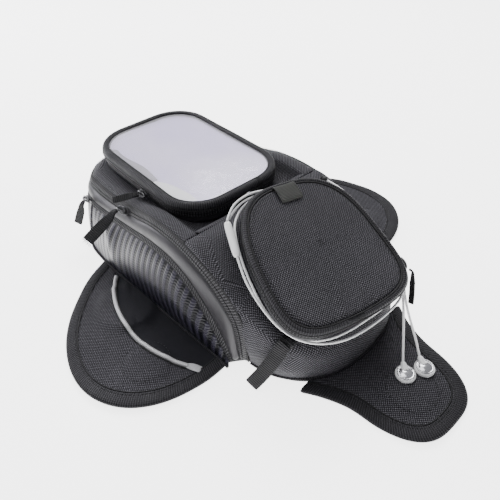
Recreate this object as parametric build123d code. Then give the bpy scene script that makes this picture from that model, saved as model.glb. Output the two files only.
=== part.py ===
"""Motorcycle tank bag: soft body with a zipped lid, a clear-window phone pouch, a round
tilted pouch, two zipped side pockets, three magnet flaps and a wrapped pair of earphones.

Frame, in millimetres: +X points to the nose, +Y to the far side, +Z up. The origin is on
the underside of the base panel, so Z = 0 is the surface that the bag lies on.
"""

from build123d import *
import os
from math import cos, pi, radians, sin, tan

os.makedirs("parts", exist_ok=True)

# ---------------------------------------------------------------- driving dimensions
FABRIC = 2.5            # padded wall thickness
BASE_THICK = 3.0        # base panel thickness
GAP = 0.3               # clearance between soft neighbours
BODY_HALF = 78.0        # half width of the main compartment
LID_FRONT_X = 26.4      # front edge of the main lid, at its fold line

PHONE_CENTRE_X = -79.7
PHONE_SIZE = (182.4, 123.8)     # outer rim of the phone pouch
PHONE_CORNER = 40.0
PHONE_BOTTOM = 75.5
PHONE_SPLIT = 89.0              # zipper height on the phone pouch
PHONE_TOP = 97.0
PHONE_FRAME = 7.0               # width of the frame around the window

ROUND_ORIGIN = (103.2, 0.0, 89.6)       # centre of the round pouch's rim
ROUND_TILT = 20.6                       # nose-down tilt
ROUND_ROLL = 2.0
ROUND_YAW = -13.0                       # turned in its own plane
ROUND_HALF = (64.9, 57.85)
ROUND_POWERS = (4.25, 2.8)              # squareness at the nose end and the tall end
ROUND_TAPER = 0.068
ROUND_TRIM = 4.0                        # width of the rim's piping
ROUND_DEPTH = 18.0

FLAP_THICK = 4.0
ROOT_THICK = 2.6        # sewn edge of a flap, beside the base
FLAP_HINGE_Y = 112.0
FLAP_FOLD_GAP = 2.0     # bare cloth on the moving side of a flap's fold
FLAP_ROOT = (-9.5, 75.3)                # middle of the side flap's sewn edge
FLAP_HALF = (97.6, 121.7)
FLAP_SHEAR = 0.268
FLAP_BINDING = 11.0
NOSE_FLAP_HINGE_X = 167.0
NOSE_FLAP_ROOT_X = 150.0
NOSE_FLAP_LENGTH = 99.0
NOSE_FLAP_HALF = 49.0
NOSE_FLAP_FLARE = 19.0
NOSE_FLAP_POWER = 3.1
MAGNET_RADIUS = 19.0
MAGNET_THICK = 2.4
SIDE_MAGNETS = [(-20, 141), (44, 143)]
NOSE_MAGNETS = [(210, 0)]

CORD_DIAMETER = 2.0

# Plan of the main compartment on the +Y side, from the tall end to the nose.
BODY_PLAN = [
    (-172, 50), (-164, 68), (-150, 78), (99, 78),
    (127, 70), (150, 50), (158, 38), (162, 0),
]
# Plan of the base, which also carries the side pockets.
BASE_PLAN = [
    (-174, 45), (-167, 70), (-150, 92), (-128, 103), (-97, 108),
    (90, 94), (99, 80), (127, 72), (153, 50), (160, 38), (164, 0),
]
# Height of the main zipper along the bag, as x and z.
ZIP_LINE = [(-180, 68), (-104, 68), (-74, 69), (-48, 76.5), (-18, 85), (24, 86)]
ZIP_FRONT = [(24, 86), (48, 80), (65, 71), (86, 58), (97, 5)]
# Height of the front slope's upper surface.
SLOPE_LINE = [(27.5, 89.5), (36, 92.5), (60, 82), (100, 61), (140, 40), (153, 32), (162.5, 24)]
SLOPE_THICK = 2.8       # measured upright
ZIP_WIDTH = 3.4         # how far the main zipper stands out of the wall
# Side pocket: x, half width at the base, height and half width at the pocket's zipper.
POCKET = [
    (-126, 103.5, 51, 93), (-97, 107.5, 54, 93), (-50, 104.5, 59, 93), (-15, 102, 65, 93),
    (20, 99.3, 65, 93), (43, 97.6, 56, 94), (63, 96.1, 38, 95), (78, 95, 20, 95.5),
]
SWELL = 5.0             # how far the pocket bulges past a straight line

# ---------------------------------------------------------------- helpers


def keep(name, shape):
    """Write one named piece."""
    shape.label = name
    export_step(shape, f"parts/{name}.step")


def box_between(low, high):
    """A box between two corners."""
    size = [far - near for near, far in zip(low, high)]
    middle = [(far + near) / 2 for near, far in zip(low, high)]
    return Pos(*middle) * Box(*size)


def plan_prism(points, low, high):
    """A vertical prism on a plan given by x and y points."""
    face = make_face(Polyline(*points, close=True))
    return Pos(0, 0, low) * extrude(face, high - low)


def side_prism(points, low_y, high_y):
    """A prism across the bag on an outline given by x and z points."""
    face = make_face(Polyline(*[(x, low_y, z) for x, z in points], close=True))
    return extrude(face, high_y - low_y, dir=(0, 1, 0))


def both_sides(half):
    """Full plan from its +Y half."""
    return half + [(x, -y) for x, y in reversed(half) if y > 0]


def inset(points, amount):
    """Face of a plan moved inwards, or outwards where the amount is negative."""
    wire = make_face(Polyline(*points, close=True))
    return offset(wire, -amount, kind=Kind.INTERSECTION)


def band_under(line, depth, low_y, high_y):
    """A strip across the bag, as deep as given, under a line of x and z points."""
    lower = [(x, z - depth) for x, z in reversed(line)]
    return side_prism(line + lower, low_y, high_y)


def mirrored(shape):
    """The same piece on the other side of the bag."""
    return mirror(shape, about=Plane.XZ)


def phone_slab(size, corner, low, high):
    """A flat slab with rounded corners, at the phone pouch."""
    face = RectangleRounded(size[0], size[1], corner)
    return Pos(PHONE_CENTRE_X, 0, low) * extrude(face, high - low)


# ---------------------------------------------------------------- base and walls


def make_base():
    """Base panel with its stiffening board."""
    keep("base_panel", plan_prism(both_sides(BASE_PLAN), 0, BASE_THICK))
    board = box_between((-150, -68, BASE_THICK), (88, 68, BASE_THICK + 2))
    keep("base_board", fillet(board.edges().filter_by(Axis.Z), 18))


def body_ring(low, high):
    """The main compartment's upright wall, all the way round."""
    plan = both_sides(BODY_PLAN)
    inner = Pos(0, 0, low) * extrude(inset(plan, FABRIC), high - low)
    return plan_prism(plan, low, high) - inner


def make_walls():
    """Upright walls of the main compartment: two sides, the tall end and the nose."""
    ring = body_ring(BASE_THICK, 95)
    wall_top = [(x, z - 1) for x, z in ZIP_LINE[:-1] + ZIP_FRONT]
    under_zip = side_prism([(-180, 0)] + wall_top + [(97, 0)], -120, 120)
    for side, sign in (("left", -1), ("right", 1)):
        low, high = sorted((sign * 60, sign * 90))
        wall = ring & under_zip & box_between((-150, low, BASE_THICK), (97, high, 95))
        keep(f"side_wall_{side}", wall)
    lower = [(x, z - SLOPE_THICK) for x, z in SLOPE_LINE]
    under_slope = side_prism([(27.5, 0)] + lower + [(162.5, 0)], -90, 90)
    ahead = box_between((97.2, -90, BASE_THICK), (162.5, 90, 95))
    keep("nose_wall", ring & under_slope & ahead)
    keep("tall_end_panel", tall_end_shell())
    tall_high = body_ring(50, 67) & box_between((-180, -90, 50), (-150, 90, 67))
    keep("tall_end_band", tall_high)


def tall_end_shell():
    """Lower tall end, leaning from the wide base up to the narrower zipper line."""
    low_half = [(-128, 103), (-150, 92), (-167, 70), (-174, 45)]
    high_half = [(-128, 93), (-149, 87), (-166, 69), (-173.5, 50)]

    def solid(shrink, low, high):
        """One of the two nested leaning solids."""
        faces = []
        for half, z in ((low_half, low), (high_half, high)):
            pts = [(x + shrink, y - shrink) for x, y in half]
            ring = [(-120, pts[0][1])] + pts
            faces.append(Pos(0, 0, z) * make_face(Polyline(*both_sides(ring), close=True)))
        return loft(faces, ruled=True)

    shell = solid(0, BASE_THICK, 50) - solid(FABRIC, BASE_THICK - 0.1, 50.1)
    return shell & box_between((-180, -120, BASE_THICK), (-128, 120, 50))


def make_slope():
    """Mesh hood from the lid's fold line down over the nose."""
    band = band_under(SLOPE_LINE, SLOPE_THICK, -BODY_HALF, BODY_HALF)
    return band & plan_prism(both_sides(BODY_PLAN), 0, 100)


# ---------------------------------------------------------------- main zipper and lid


def make_main_zipper():
    """Zipper tape that runs outside the wall's top edge, down to a foot on each side."""
    plan = both_sides(BODY_PLAN)
    ring = extrude(inset(plan, -ZIP_WIDTH), 100) - plan_prism(plan, -1, 101)
    line = ZIP_LINE[:-1] + ZIP_FRONT
    strip = band_under(line, 4.0, -120, 120)
    return ring & strip & box_between((-180, -120, BASE_THICK), (97, 120, 100))


def make_lid():
    """Lid of the main compartment, with raised edges beside the phone pouch."""
    plan = [(-171.5, 50), (-163.6, 67.6), (-149.8, 77.7), (LID_FRONT_X, 77.7)]
    inside = plan_prism(both_sides(plan), 60, 100)
    high = PHONE_BOTTOM - GAP
    low = high - FABRIC
    inner = PHONE_SIZE[1] / 2 + 0.5
    outer = inner + FABRIC
    middle = box_between((-175, -outer, low), (LID_FRONT_X, outer, high))
    rim_line = [(-175, 68.3), (-104, 68.3), (-74, 69.3), (-74, high), (-175, high)]
    rim = side_prism(rim_line, inner, 80)
    edge_line = [(-76, 73), (-48, 79.5), (-18, 88), (LID_FRONT_X, 88.6)]
    raised = band_under(edge_line, FABRIC, inner, 80)
    riser = side_prism(edge_line + [(LID_FRONT_X, low), (-76, low)], inner, outer)
    front = box_between((LID_FRONT_X - 3, -outer, low), (LID_FRONT_X, outer, 88.6))
    back_rim = box_between((-175, -80, 68.3), (-168.5, 80, high))
    sides = rim + raised + riser
    return (middle + front + back_rim + sides + mirrored(sides)) & inside


def make_phone_pouch():
    """Tray, zipper tape and divider of the phone pouch, and its window lid."""
    length, width = PHONE_SIZE
    tray_size = (length - 4, width - 4)
    corner = PHONE_CORNER - 2
    tray = phone_slab(tray_size, corner, PHONE_BOTTOM, PHONE_SPLIT - 0.2)
    hollow = (tray_size[0] - 5, tray_size[1] - 5)
    tray -= phone_slab(hollow, corner - 2.5, PHONE_BOTTOM + 2, PHONE_SPLIT + 1)
    keep("phone_tray", tray)
    tape = phone_slab((length - 1.6, width - 1.6), corner + 1.2, 84.5, PHONE_SPLIT - 0.2)
    tape -= phone_slab(tray_size, corner, 80, 95)
    keep("phone_zip_tape", tape)
    frame = phone_slab(PHONE_SIZE, PHONE_CORNER, PHONE_SPLIT + 0.2, PHONE_TOP)
    opening = (length - 2 * PHONE_FRAME, width - 2 * PHONE_FRAME)
    inner_corner = PHONE_CORNER - PHONE_FRAME
    frame -= phone_slab(opening, inner_corner, 80, 100)
    keep("phone_lid_frame", frame)
    keep("phone_window", phone_slab(opening, inner_corner, 95.0, 96.0))
    keep("phone_window_liner", phone_slab(opening, inner_corner, 93.4, 94.6))
    sheet = (hollow[0] - 2, hollow[1] - 2)
    keep("phone_pad", phone_slab(sheet, corner - 3.5, PHONE_BOTTOM + 2, PHONE_BOTTOM + 4))


# ---------------------------------------------------------------- round pouch

ROUND_TURN = Rot(ROUND_ROLL, 0, 0) * Rot(0, ROUND_TILT, 0) * Rot(0, 0, ROUND_YAW)
ROUND_PLACE = Pos(*ROUND_ORIGIN) * ROUND_TURN


def round_point(u, v, w):
    """A point given along, across and out of the round pouch, in the bag's frame."""
    return (ROUND_PLACE * Pos(u, v, w)).position


def round_outline(shrink):
    """Rim outline of the round pouch, moved inwards."""
    points = []
    count = 40
    for k in range(count):
        turn = 2 * pi * k / count
        power = ROUND_POWERS[0] if cos(turn) > 0 else ROUND_POWERS[1]
        u = abs(cos(turn)) ** (2 / power)
        v = abs(sin(turn)) ** (2 / power)
        u = u if cos(turn) > 0 else -u
        v = v if sin(turn) > 0 else -v
        half_v = (ROUND_HALF[1] - shrink) * (1 + ROUND_TAPER * u)
        points.append((u * (ROUND_HALF[0] - shrink), v * half_v))
    return points


def round_slab(shrink, low, high):
    """A slab of the round pouch's outline, in its tilted place."""
    return ROUND_PLACE * plan_prism(round_outline(shrink), low, high)


def make_round_pouch():
    """Gusset, back, pad, zipper tape and lid of the round pouch."""
    gusset = round_slab(3, -ROUND_DEPTH, -3.4) - round_slab(5.5, -ROUND_DEPTH + 2, 1)
    keep("round_gusset", gusset)
    above_slope = side_prism([(27.5, 120)] + SLOPE_LINE + [(162.5, 120)], -90, 90)
    wedge = round_slab(9, -46, -ROUND_DEPTH) & above_slope
    keep("round_pad", wedge & box_between((20, -90, 30), (156, 90, 120)))
    tape = round_slab(1.8, -8.5, -3.4) - round_slab(3, -20, 2)
    keep("round_zip_tape", tape)
    frame = round_slab(0, -3.1, 1.5) - round_slab(ROUND_TRIM, -5, 5)
    keep("round_lid_piping", frame)
    face = round_slab(ROUND_TRIM, -1.5, 2.5)
    keep("round_lid_face", face)
    keep("round_pull_tab", ROUND_PLACE * box_between((-61, -11.5, 2.8), (-44, 9.5, 5.2)))


# ---------------------------------------------------------------- side pockets


def pocket_section(x, base, top_z, top_y):
    """Cross section of a pocket panel at x, with its swell."""
    mid_y = (base + top_y) / 2 + SWELL * top_z / 65
    mid_z = BASE_THICK + (top_z - BASE_THICK) * 0.5
    outer = [(base, 3.8), (mid_y, mid_z), (top_y, top_z)]
    inner = [(y - FABRIC, z) for y, z in reversed(outer)]
    return make_face(Polyline(*[(x, y, z) for y, z in outer + inner], close=True))


def make_pocket(side):
    """Gusset band and hinged panel of one side pocket. Gives back its zipper tape."""
    panel = loft([pocket_section(*row) for row in POCKET], ruled=True)
    zip_line = [(x, z + 1.5) for x, _, z, _ in POCKET] + [(92, 5)]
    near = [
        (-126, 64), (-97, 64), (-50, 72), (-15, 82), (20, 83),
        (43, 77.5), (63, 68), (78, 58), (95, 5),
    ]

    def strip(line, y, depth):
        """One edge of the sloping band, as a thin upright outline."""
        lower = [(x, z - depth) for x, z in reversed(line)]
        return make_face(Polyline(*[(x, y, z) for x, z in line + lower], close=True))

    band = loft([strip(near, 81.6, FABRIC), strip(zip_line, 89.6, FABRIC)], ruled=True)
    low = [(x, z - FABRIC) for x, z in zip_line]
    tape = band_under(low, 3.0, 87.2, 89.8) & box_between((-130, 80, BASE_THICK), (100, 95, 90))
    foot = box_between((86, 81.7, BASE_THICK), (96, 87, BASE_THICK + 5))
    band = (band + foot) & box_between((-130, 80, BASE_THICK), (100, 95, 90))
    place = mirrored if side == "left" else (lambda shape: shape)
    keep(f"pocket_panel_{side}", place(panel))
    keep(f"pocket_band_{side}", place(band - tape))
    return place(tape)


# ---------------------------------------------------------------- magnet flaps


def side_flap_outline(shrink):
    """Outline of the +Y side flap from root to root, moved inwards."""
    points = []
    count = 36
    for k in range(count + 1):
        turn = pi * k / count
        out = (FLAP_HALF[1] - shrink) * sin(turn)
        x = FLAP_ROOT[0] + (FLAP_HALF[0] - shrink) * cos(turn) + FLAP_SHEAR * out
        points.append((x, FLAP_ROOT[1] + out))
    return points


def nose_flap_outline(shrink):
    """Outline of the nose flap from root to root, moved inwards."""
    length = NOSE_FLAP_LENGTH - shrink
    half = []
    steps = [0, 0.05, 0.1, 0.18, 0.26, 0.35, 0.45, 0.6, 0.72, 0.82, 0.9, 0.95, 0.98, 0.995, 1]
    for along in steps:
        wide = NOSE_FLAP_HALF - shrink
        flare = NOSE_FLAP_FLARE * max(0.0, 1 - along / 0.5) ** 2
        y = wide * (1 - along ** NOSE_FLAP_POWER) ** (1 / NOSE_FLAP_POWER) + flare
        half.append((NOSE_FLAP_ROOT_X + along * length, y))
    return both_sides(half)


def make_flap(name, outline, cut, magnets, strip):
    """Panel, binding, magnets and strip of one flap. The outline is a function of its inset."""
    whole = plan_prism(outline(0), 0, FLAP_THICK) & cut
    core = plan_prism(outline(FLAP_BINDING), -1, FLAP_THICK + 1)
    panel = plan_prism(outline(FLAP_BINDING), 0, FLAP_THICK - 0.5) & cut
    discs = [disc_at(x, y, 0.8, MAGNET_RADIUS, MAGNET_THICK) for x, y in magnets]
    for x, y in magnets:
        panel -= disc_at(x, y, 0.8, MAGNET_RADIUS + GAP, 10)
    pieces = {f"{name}_binding": whole - core, f"{name}_panel": panel}
    pieces[f"{name}_magnets"] = Compound(discs)
    if strip:
        pieces[f"{name}_strip"] = strip
    return pieces


def disc_at(x, y, low, radius, height):
    """An upright disc that stands at a height."""
    return Pos(x, y, low) * Cylinder(radius, height, align=(Align.CENTER, Align.CENTER, Align.MIN))


def reflective_strip():
    """Curved reflective strip on a side flap, with its folded tag end."""
    centre, radius, width = (10, 20), 117.0, 4.0
    top = FLAP_THICK - 0.5 + 0.1
    ring = extrude(Circle(radius + width / 2) - Circle(radius - width / 2), 0.8)
    ring = Pos(centre[0], centre[1], top) * ring
    near = FLAP_HINGE_Y + FLAP_FOLD_GAP + 0.4
    ring &= box_between((-62, near, 0), (73, 150, 10))
    standing = (Align.CENTER, Align.CENTER, Align.MIN)
    tag = Pos(72.5, 118.6, top) * Rot(0, 0, -33) * Box(9, 6, 1.2, align=standing)
    return ring + tag


def make_flaps():
    """Two side flaps and the nose flap, and the cloth that ties them to the base."""
    base = plan_prism(both_sides(BASE_PLAN), -1, 10)
    near = FLAP_HINGE_Y + FLAP_FOLD_GAP
    moving = box_between((-200, near, -1), (200, 250, 9))
    strip = reflective_strip()
    side = make_flap("flap_right", side_flap_outline, moving, SIDE_MAGNETS, strip)
    for name, shape in side.items():
        keep(name, shape)
        keep(name.replace("right", "left"), mirrored(shape))
    near = NOSE_FLAP_HINGE_X + FLAP_FOLD_GAP
    moving = box_between((near, -90, -1), (260, 90, 9))
    nose = make_flap("flap_nose", nose_flap_outline, moving, NOSE_MAGNETS, None)
    for name, shape in nose.items():
        keep(name, shape)
    side_root = plan_prism(side_flap_outline(0), 0, ROOT_THICK) - base
    side_root &= box_between((-200, 85, -1), (200, FLAP_HINGE_Y - GAP, 9))
    nose_root = plan_prism(nose_flap_outline(0), 0, ROOT_THICK) - base
    nose_root &= box_between((100, -90, -1), (NOSE_FLAP_HINGE_X - GAP, 90, 9))
    solids = side_root.solids() + mirrored(side_root).solids() + nose_root.solids()
    keep("flap_roots", Compound(solids))


# ---------------------------------------------------------------- sliders, tails and rings


def slider(at, size):
    """A zipper slider body: a block with rounded upright edges."""
    corner = min(size[0], size[1]) * 0.3
    return Pos(*at) * fillet(Box(*size).edges().filter_by(Axis.Z), corner)


def ribbon(start, end, width, thick, across):
    """A straight webbing ribbon between two points; across is its width's direction."""
    start, end = Vector(*start), Vector(*end)
    along = (end - start).normalized()
    plane = Plane(origin=start, x_dir=Vector(*across), z_dir=along)
    return extrude(plane * Rectangle(width, thick), (end - start).length)


def make_pullers():
    """Sliders and their webbing tails, in their rest places."""
    keep("main_slider", slider((-66, -86.2, 74.2), (14, 6.6, 8)))
    keep("main_tail", ribbon((-66, -91.6, 75), (-63, -127, 62), 9, 1.8, (1, 0, 0)))
    keep("phone_slider", slider((-60, -65.4, 86.4), (13, 5.6, 6)))
    along_corner = (0.7, -0.7, 0)
    keep("phone_tail", ribbon((-61.5, -71.8, 87), (-76, -88.5, 82), 6, 1.6, along_corner))
    for side, sign in (("left", -1), ("right", 1)):
        keep(f"pocket_slider_{side}", slider((-137, sign * 94.5, 57.6), (13, 6, 6)))
        start, end = (-138, sign * 99.2, 56.5), (-146, sign * 115, 34)
        keep(f"pocket_tail_{side}", ribbon(start, end, 8, 1.8, (1, 0, 0)))
    corner_slider = Pos(40, 61.9, -6) * Rot(0, 0, -12) * slider((0, 0, 0), (12, 5, 5))
    keep("round_slider", ROUND_PLACE * corner_slider)
    round_ribbon = ribbon((49.3, 64.8, -5.4), (69.6, 59.3, -24.4), 6, 1.4, (0.67, -0.13, 0.76))
    keep("round_tail", ROUND_PLACE * round_ribbon)
    keep("strap_tail", ribbon((133, -68.6, 48), (121, -92, 4), 12, 1.8, (0.9, 0.4, 0)))
    hook = Plane(origin=(14.4, 1.5, 88.5), z_dir=(1, 0, 0))
    keep("pouch_ring", extrude(hook * (Circle(5.5) - Circle(4.2)), 1.3))
    keep("ring_loop", box_between((11.6, -4, 82), (13.9, 7, 88)))


# ---------------------------------------------------------------- earphones

# Route points along, across and out of the round pouch.
MAIN_LOOPS = [
    (-30, 62, -14), (-11, 60.8, -16), (9, 60.6, -17), (30, 60.4, -17.5), (48, 56.8, -18),
    (59.4, 46, -18.5), (64.4, 28.5, -18.5), (67, 10, -18.5), (69.2, -9, -18.5),
    (68.4, -28, -18.5), (62, -45.3, -18.5), (48, -56.4, -18.5), (30, -61, -18),
    (10, -61.6, -16.5), (-11, -59.8, -14.5), (-31, -55.2, -13), (-47.5, -47.6, -13.2),
    (-57.5, -36.5, -13.5), (-64, -22, -13.5), (-66.8, -6, -13.5), (-66.4, 10.5, -13.4),
    (-61.4, 27.5, -13.3), (-51.5, 42, -13), (-36.5, 53.5, -12.4), (-16, 61, -12.4),
    (6, 63.2, -13), (28, 63.6, -13.4), (49.5, 60.6, -13.8), (62, 50, -14), (68, 36, -14),
    (71.8, 19.5, -14), (74.6, 1, -14), (75, -18.5, -14), (70, -37, -14), (60.6, -51.2, -14),
    (46.5, -60.2, -14), (28, -65, -13.5), (7, -67, -12), (-6, -66.2, -10.4),
]
PORT_END = [(50, 68, 93), (60, 68, 93), (72, 68.2, 90.8)]
SPLITTER = [(-50.2, -57.6, -9.2), (-17.6, -64.4, -9.2)]
SPLITTER_RADIUS = 3.3
LEAD_GAP = 1.35
LEAD_LOOP = [
    (-58.6, -49.2, -7.6), (-64.6, -37.5, -7.2), (-67.4, -24, -7.2), (-67.9, -8.5, -7.4),
    (-67.4, 8, -7.8), (-64.8, 25, -8.4), (-58, 39.6, -9.2), (-46.5, 51.6, -9.8),
    (-31, 60.6, -10.3), (-11, 64.6, -12), (10, 66.4, -13.6), (31, 66.2, -15),
    (48.5, 62.4, -16.6), (58.5, 55.5, -17.8),
]
LEAD_ENDS = {
    "left": [(171.6, 31.2, 43.5), (178.6, 24.8, 32.5), (186, 17.6, 20.4), (192.8, 10.4, 12)],
    "right": [(173.3, 32.6, 45.6), (181.4, 31.6, 33), (192.2, 27.8, 20.6), (198.6, 25, 12)],
}
BUDS = {"left": (199.5, 5.5), "right": (206.6, 21.6)}
BUD_RADIUS = 8.5


def corner_radii(points):
    """One radius for each inner point of a route."""
    radii = []
    for before, here, after in zip(points, points[1:], points[2:]):
        first, second = here - before, after - here
        turn = first.get_angle(second)
        short = min(first.length, second.length)
        radii.append(0.45 * short / tan(radians(turn) / 2))
    return radii


def tube(name, points):
    """A cord along straight runs joined by tangent arcs."""
    points = [Vector(*p) for p in points]
    radii = corner_radii(points)
    turns = [(b - a).get_angle(c - b) for a, b, c in zip(points, points[1:], points[2:])]
    runs = [(b - a).length for a, b in zip(points, points[1:])]
    path = FilletPolyline(*points, radius=radii)
    start = Plane(origin=path @ 0, z_dir=path % 0)
    solid = sweep(start * Circle(CORD_DIAMETER / 2), path=path)
    expected = pi * (CORD_DIAMETER / 2) ** 2 * path.length
    print(f"{name}: length {path.length:.0f} mm, radii {min(radii):.1f} to {max(radii):.0f} mm")
    print(f"   largest turn {max(turns):.0f}, runs {min(runs):.1f} to {max(runs):.1f} mm")
    print(f"   volume {solid.volume:.0f} mm3 against {expected:.0f} mm3")
    keep(name, solid)
    return solid


def make_earphones(slope):
    """Audio port, main cable, splitter, two leads and two earbuds."""
    port = Pos(47, 68, 93) * Rot(0, 90, 0) * Cylinder(3.2, 6)
    port += box_between((44.5, 66, 87.2), (48.5, 70, 91))
    keep("audio_port", port - slope)
    loops = [tuple(round_point(*p)) for p in MAIN_LOOPS]
    top, bottom = [round_point(*p) for p in SPLITTER]
    tube("cable_main", PORT_END + loops + [tuple(bottom)])
    body = Plane(origin=bottom, z_dir=top - bottom)
    capsule = extrude(body * Circle(SPLITTER_RADIUS), (top - bottom).length)
    keep("cable_splitter", fillet(capsule.edges(), 1.6))
    for side, shift in (("left", -1), ("right", 1)):
        across = [(u, v, w + shift * LEAD_GAP) for u, v, w in [SPLITTER[0]] + LEAD_LOOP]
        route = [tuple(round_point(*p)) for p in across] + LEAD_ENDS[side]
        tube(f"lead_{side}", route)
        x, y = BUDS[side]
        end = Vector(*LEAD_ENDS[side][-1])
        disc = fillet(disc_at(x, y, FLAP_THICK + 0.5, BUD_RADIUS, 7.5).edges(), 2.6)
        centre = Vector(x, y, FLAP_THICK + 4.2)
        stem_plane = Plane(origin=end, z_dir=centre - end)
        stem = extrude(stem_plane * Circle(2.6), (centre - end).length)
        keep(f"earbud_{side}", disc + stem)


# ---------------------------------------------------------------- build

make_base()
make_walls()
keep("main_zip_tape", make_main_zipper())
slope_hood = make_slope()
keep("slope_hood", slope_hood)
keep("lid_panel", make_lid())
make_phone_pouch()
make_round_pouch()
pocket_tapes = [make_pocket(pocket_side) for pocket_side in ("left", "right")]
keep("pocket_zip_tapes", Compound(pocket_tapes))
make_flaps()
make_pullers()
keep("strap_anchor", box_between((127, -65.5, 45), (139, -58, 50)) - slope_hood)
make_earphones(slope_hood)
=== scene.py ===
"""Looks of the motorcycle tank bag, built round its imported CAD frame.

Shapes are written in millimetres in the CAD frame and turned into metres when a mesh is made.
"""

import math

import bmesh
import bpy
import numpy as np
from mathutils import Matrix, Vector, noise


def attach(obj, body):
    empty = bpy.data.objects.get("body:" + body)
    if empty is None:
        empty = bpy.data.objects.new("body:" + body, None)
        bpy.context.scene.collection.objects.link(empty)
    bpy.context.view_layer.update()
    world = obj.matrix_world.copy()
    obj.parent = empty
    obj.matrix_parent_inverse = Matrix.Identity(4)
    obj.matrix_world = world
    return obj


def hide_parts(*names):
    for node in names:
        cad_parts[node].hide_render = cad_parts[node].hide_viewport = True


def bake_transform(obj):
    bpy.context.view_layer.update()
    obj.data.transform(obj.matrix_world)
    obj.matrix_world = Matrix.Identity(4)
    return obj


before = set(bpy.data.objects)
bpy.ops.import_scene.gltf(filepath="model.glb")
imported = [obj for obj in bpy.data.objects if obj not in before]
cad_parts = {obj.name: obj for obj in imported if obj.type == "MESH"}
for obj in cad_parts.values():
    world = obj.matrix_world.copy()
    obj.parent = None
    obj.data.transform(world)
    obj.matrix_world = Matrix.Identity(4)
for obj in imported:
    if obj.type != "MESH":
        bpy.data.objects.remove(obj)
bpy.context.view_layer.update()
MM = 0.001
INSIDE = (-20.0, 0.0, 30.0)     # a point inside the bag, to tell outward from inward

# ---------------------------------------------------------------- lines and sheets


def by_index(points, per_span):
    """A smooth line through the points, with the same number of steps between each two."""
    p = np.array(points, float)
    t = np.concatenate([[0], np.cumsum(np.linalg.norm(np.diff(p, axis=0), axis=1))])
    slope = np.gradient(p, t, axis=0)
    parts = []
    for i in range(len(p) - 1):
        s = np.linspace(0, 1, per_span, endpoint=False)[:, None]
        h = t[i + 1] - t[i]
        parts.append(
            (2 * s**3 - 3 * s**2 + 1) * p[i] + (s**3 - 2 * s**2 + s) * h * slope[i]
            + (-2 * s**3 + 3 * s**2) * p[i + 1] + (s**3 - s**2) * h * slope[i + 1]
        )
    return np.vstack(parts + [p[-1:]])


def by_length(points, count):
    """A smooth line through the points, evenly spaced along its length."""
    dense = by_index(points, 16)
    t = np.concatenate([[0], np.cumsum(np.linalg.norm(np.diff(dense, axis=0), axis=1))])
    at = np.linspace(0, t[-1], count)
    return np.stack([np.interp(at, t, dense[:, k]) for k in range(dense.shape[1])], axis=1)


def flipped(points):
    """The same line on the other side of the bag."""
    return np.array(points, float) * (1, -1, 1)


def ripple(x, y, z, size, seed=0.0):
    """Soft uneven cloth movement between -1 and 1."""
    return noise.noise(Vector((x / size + seed, y / size - seed, z / size + 2 * seed)))


def arc_uv(rows):
    """Distances along and across a grid of rows, in millimetres."""
    along = np.linalg.norm(np.diff(rows, axis=0), axis=2).mean(axis=1)
    across = np.linalg.norm(np.diff(rows, axis=1), axis=2).mean(axis=0)
    u = np.concatenate([[0], np.cumsum(along)])
    v = np.concatenate([[0], np.cumsum(across)])
    return np.stack(np.meshgrid(u, v, indexing="ij"), axis=2)


def box_uv(mesh):
    """Texture distances from the face's nearest flat direction, in millimetres."""
    layer = mesh.uv_layers.new(name="UVMap")
    for face in mesh.polygons:
        n = [abs(c) for c in face.normal]
        a, b = {0: (1, 2), 1: (0, 2), 2: (0, 1)}[n.index(max(n))]
        for k in face.loop_indices:
            co = mesh.vertices[mesh.loops[k].vertex_index].co
            layer.data[k].uv = (co[a] / MM, co[b] / MM)


def finish_mesh(name, mesh, material, body, thick, levels, offset):
    """Object with its thickness, smoothing, material and body."""
    piece = bpy.data.objects.new(name, mesh)
    bpy.context.scene.collection.objects.link(piece)
    mesh.materials.append(material)
    for face in mesh.polygons:
        face.use_smooth = True
    if thick:
        solid = piece.modifiers.new("thickness", "SOLIDIFY")
        solid.thickness = thick * MM
        solid.offset = offset
    if levels:
        smooth = piece.modifiers.new("smooth", "SUBSURF")
        smooth.levels = levels
        smooth.render_levels = levels
        smooth.uv_smooth = "NONE"
    if body:
        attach(piece, body)
    return piece


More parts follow.
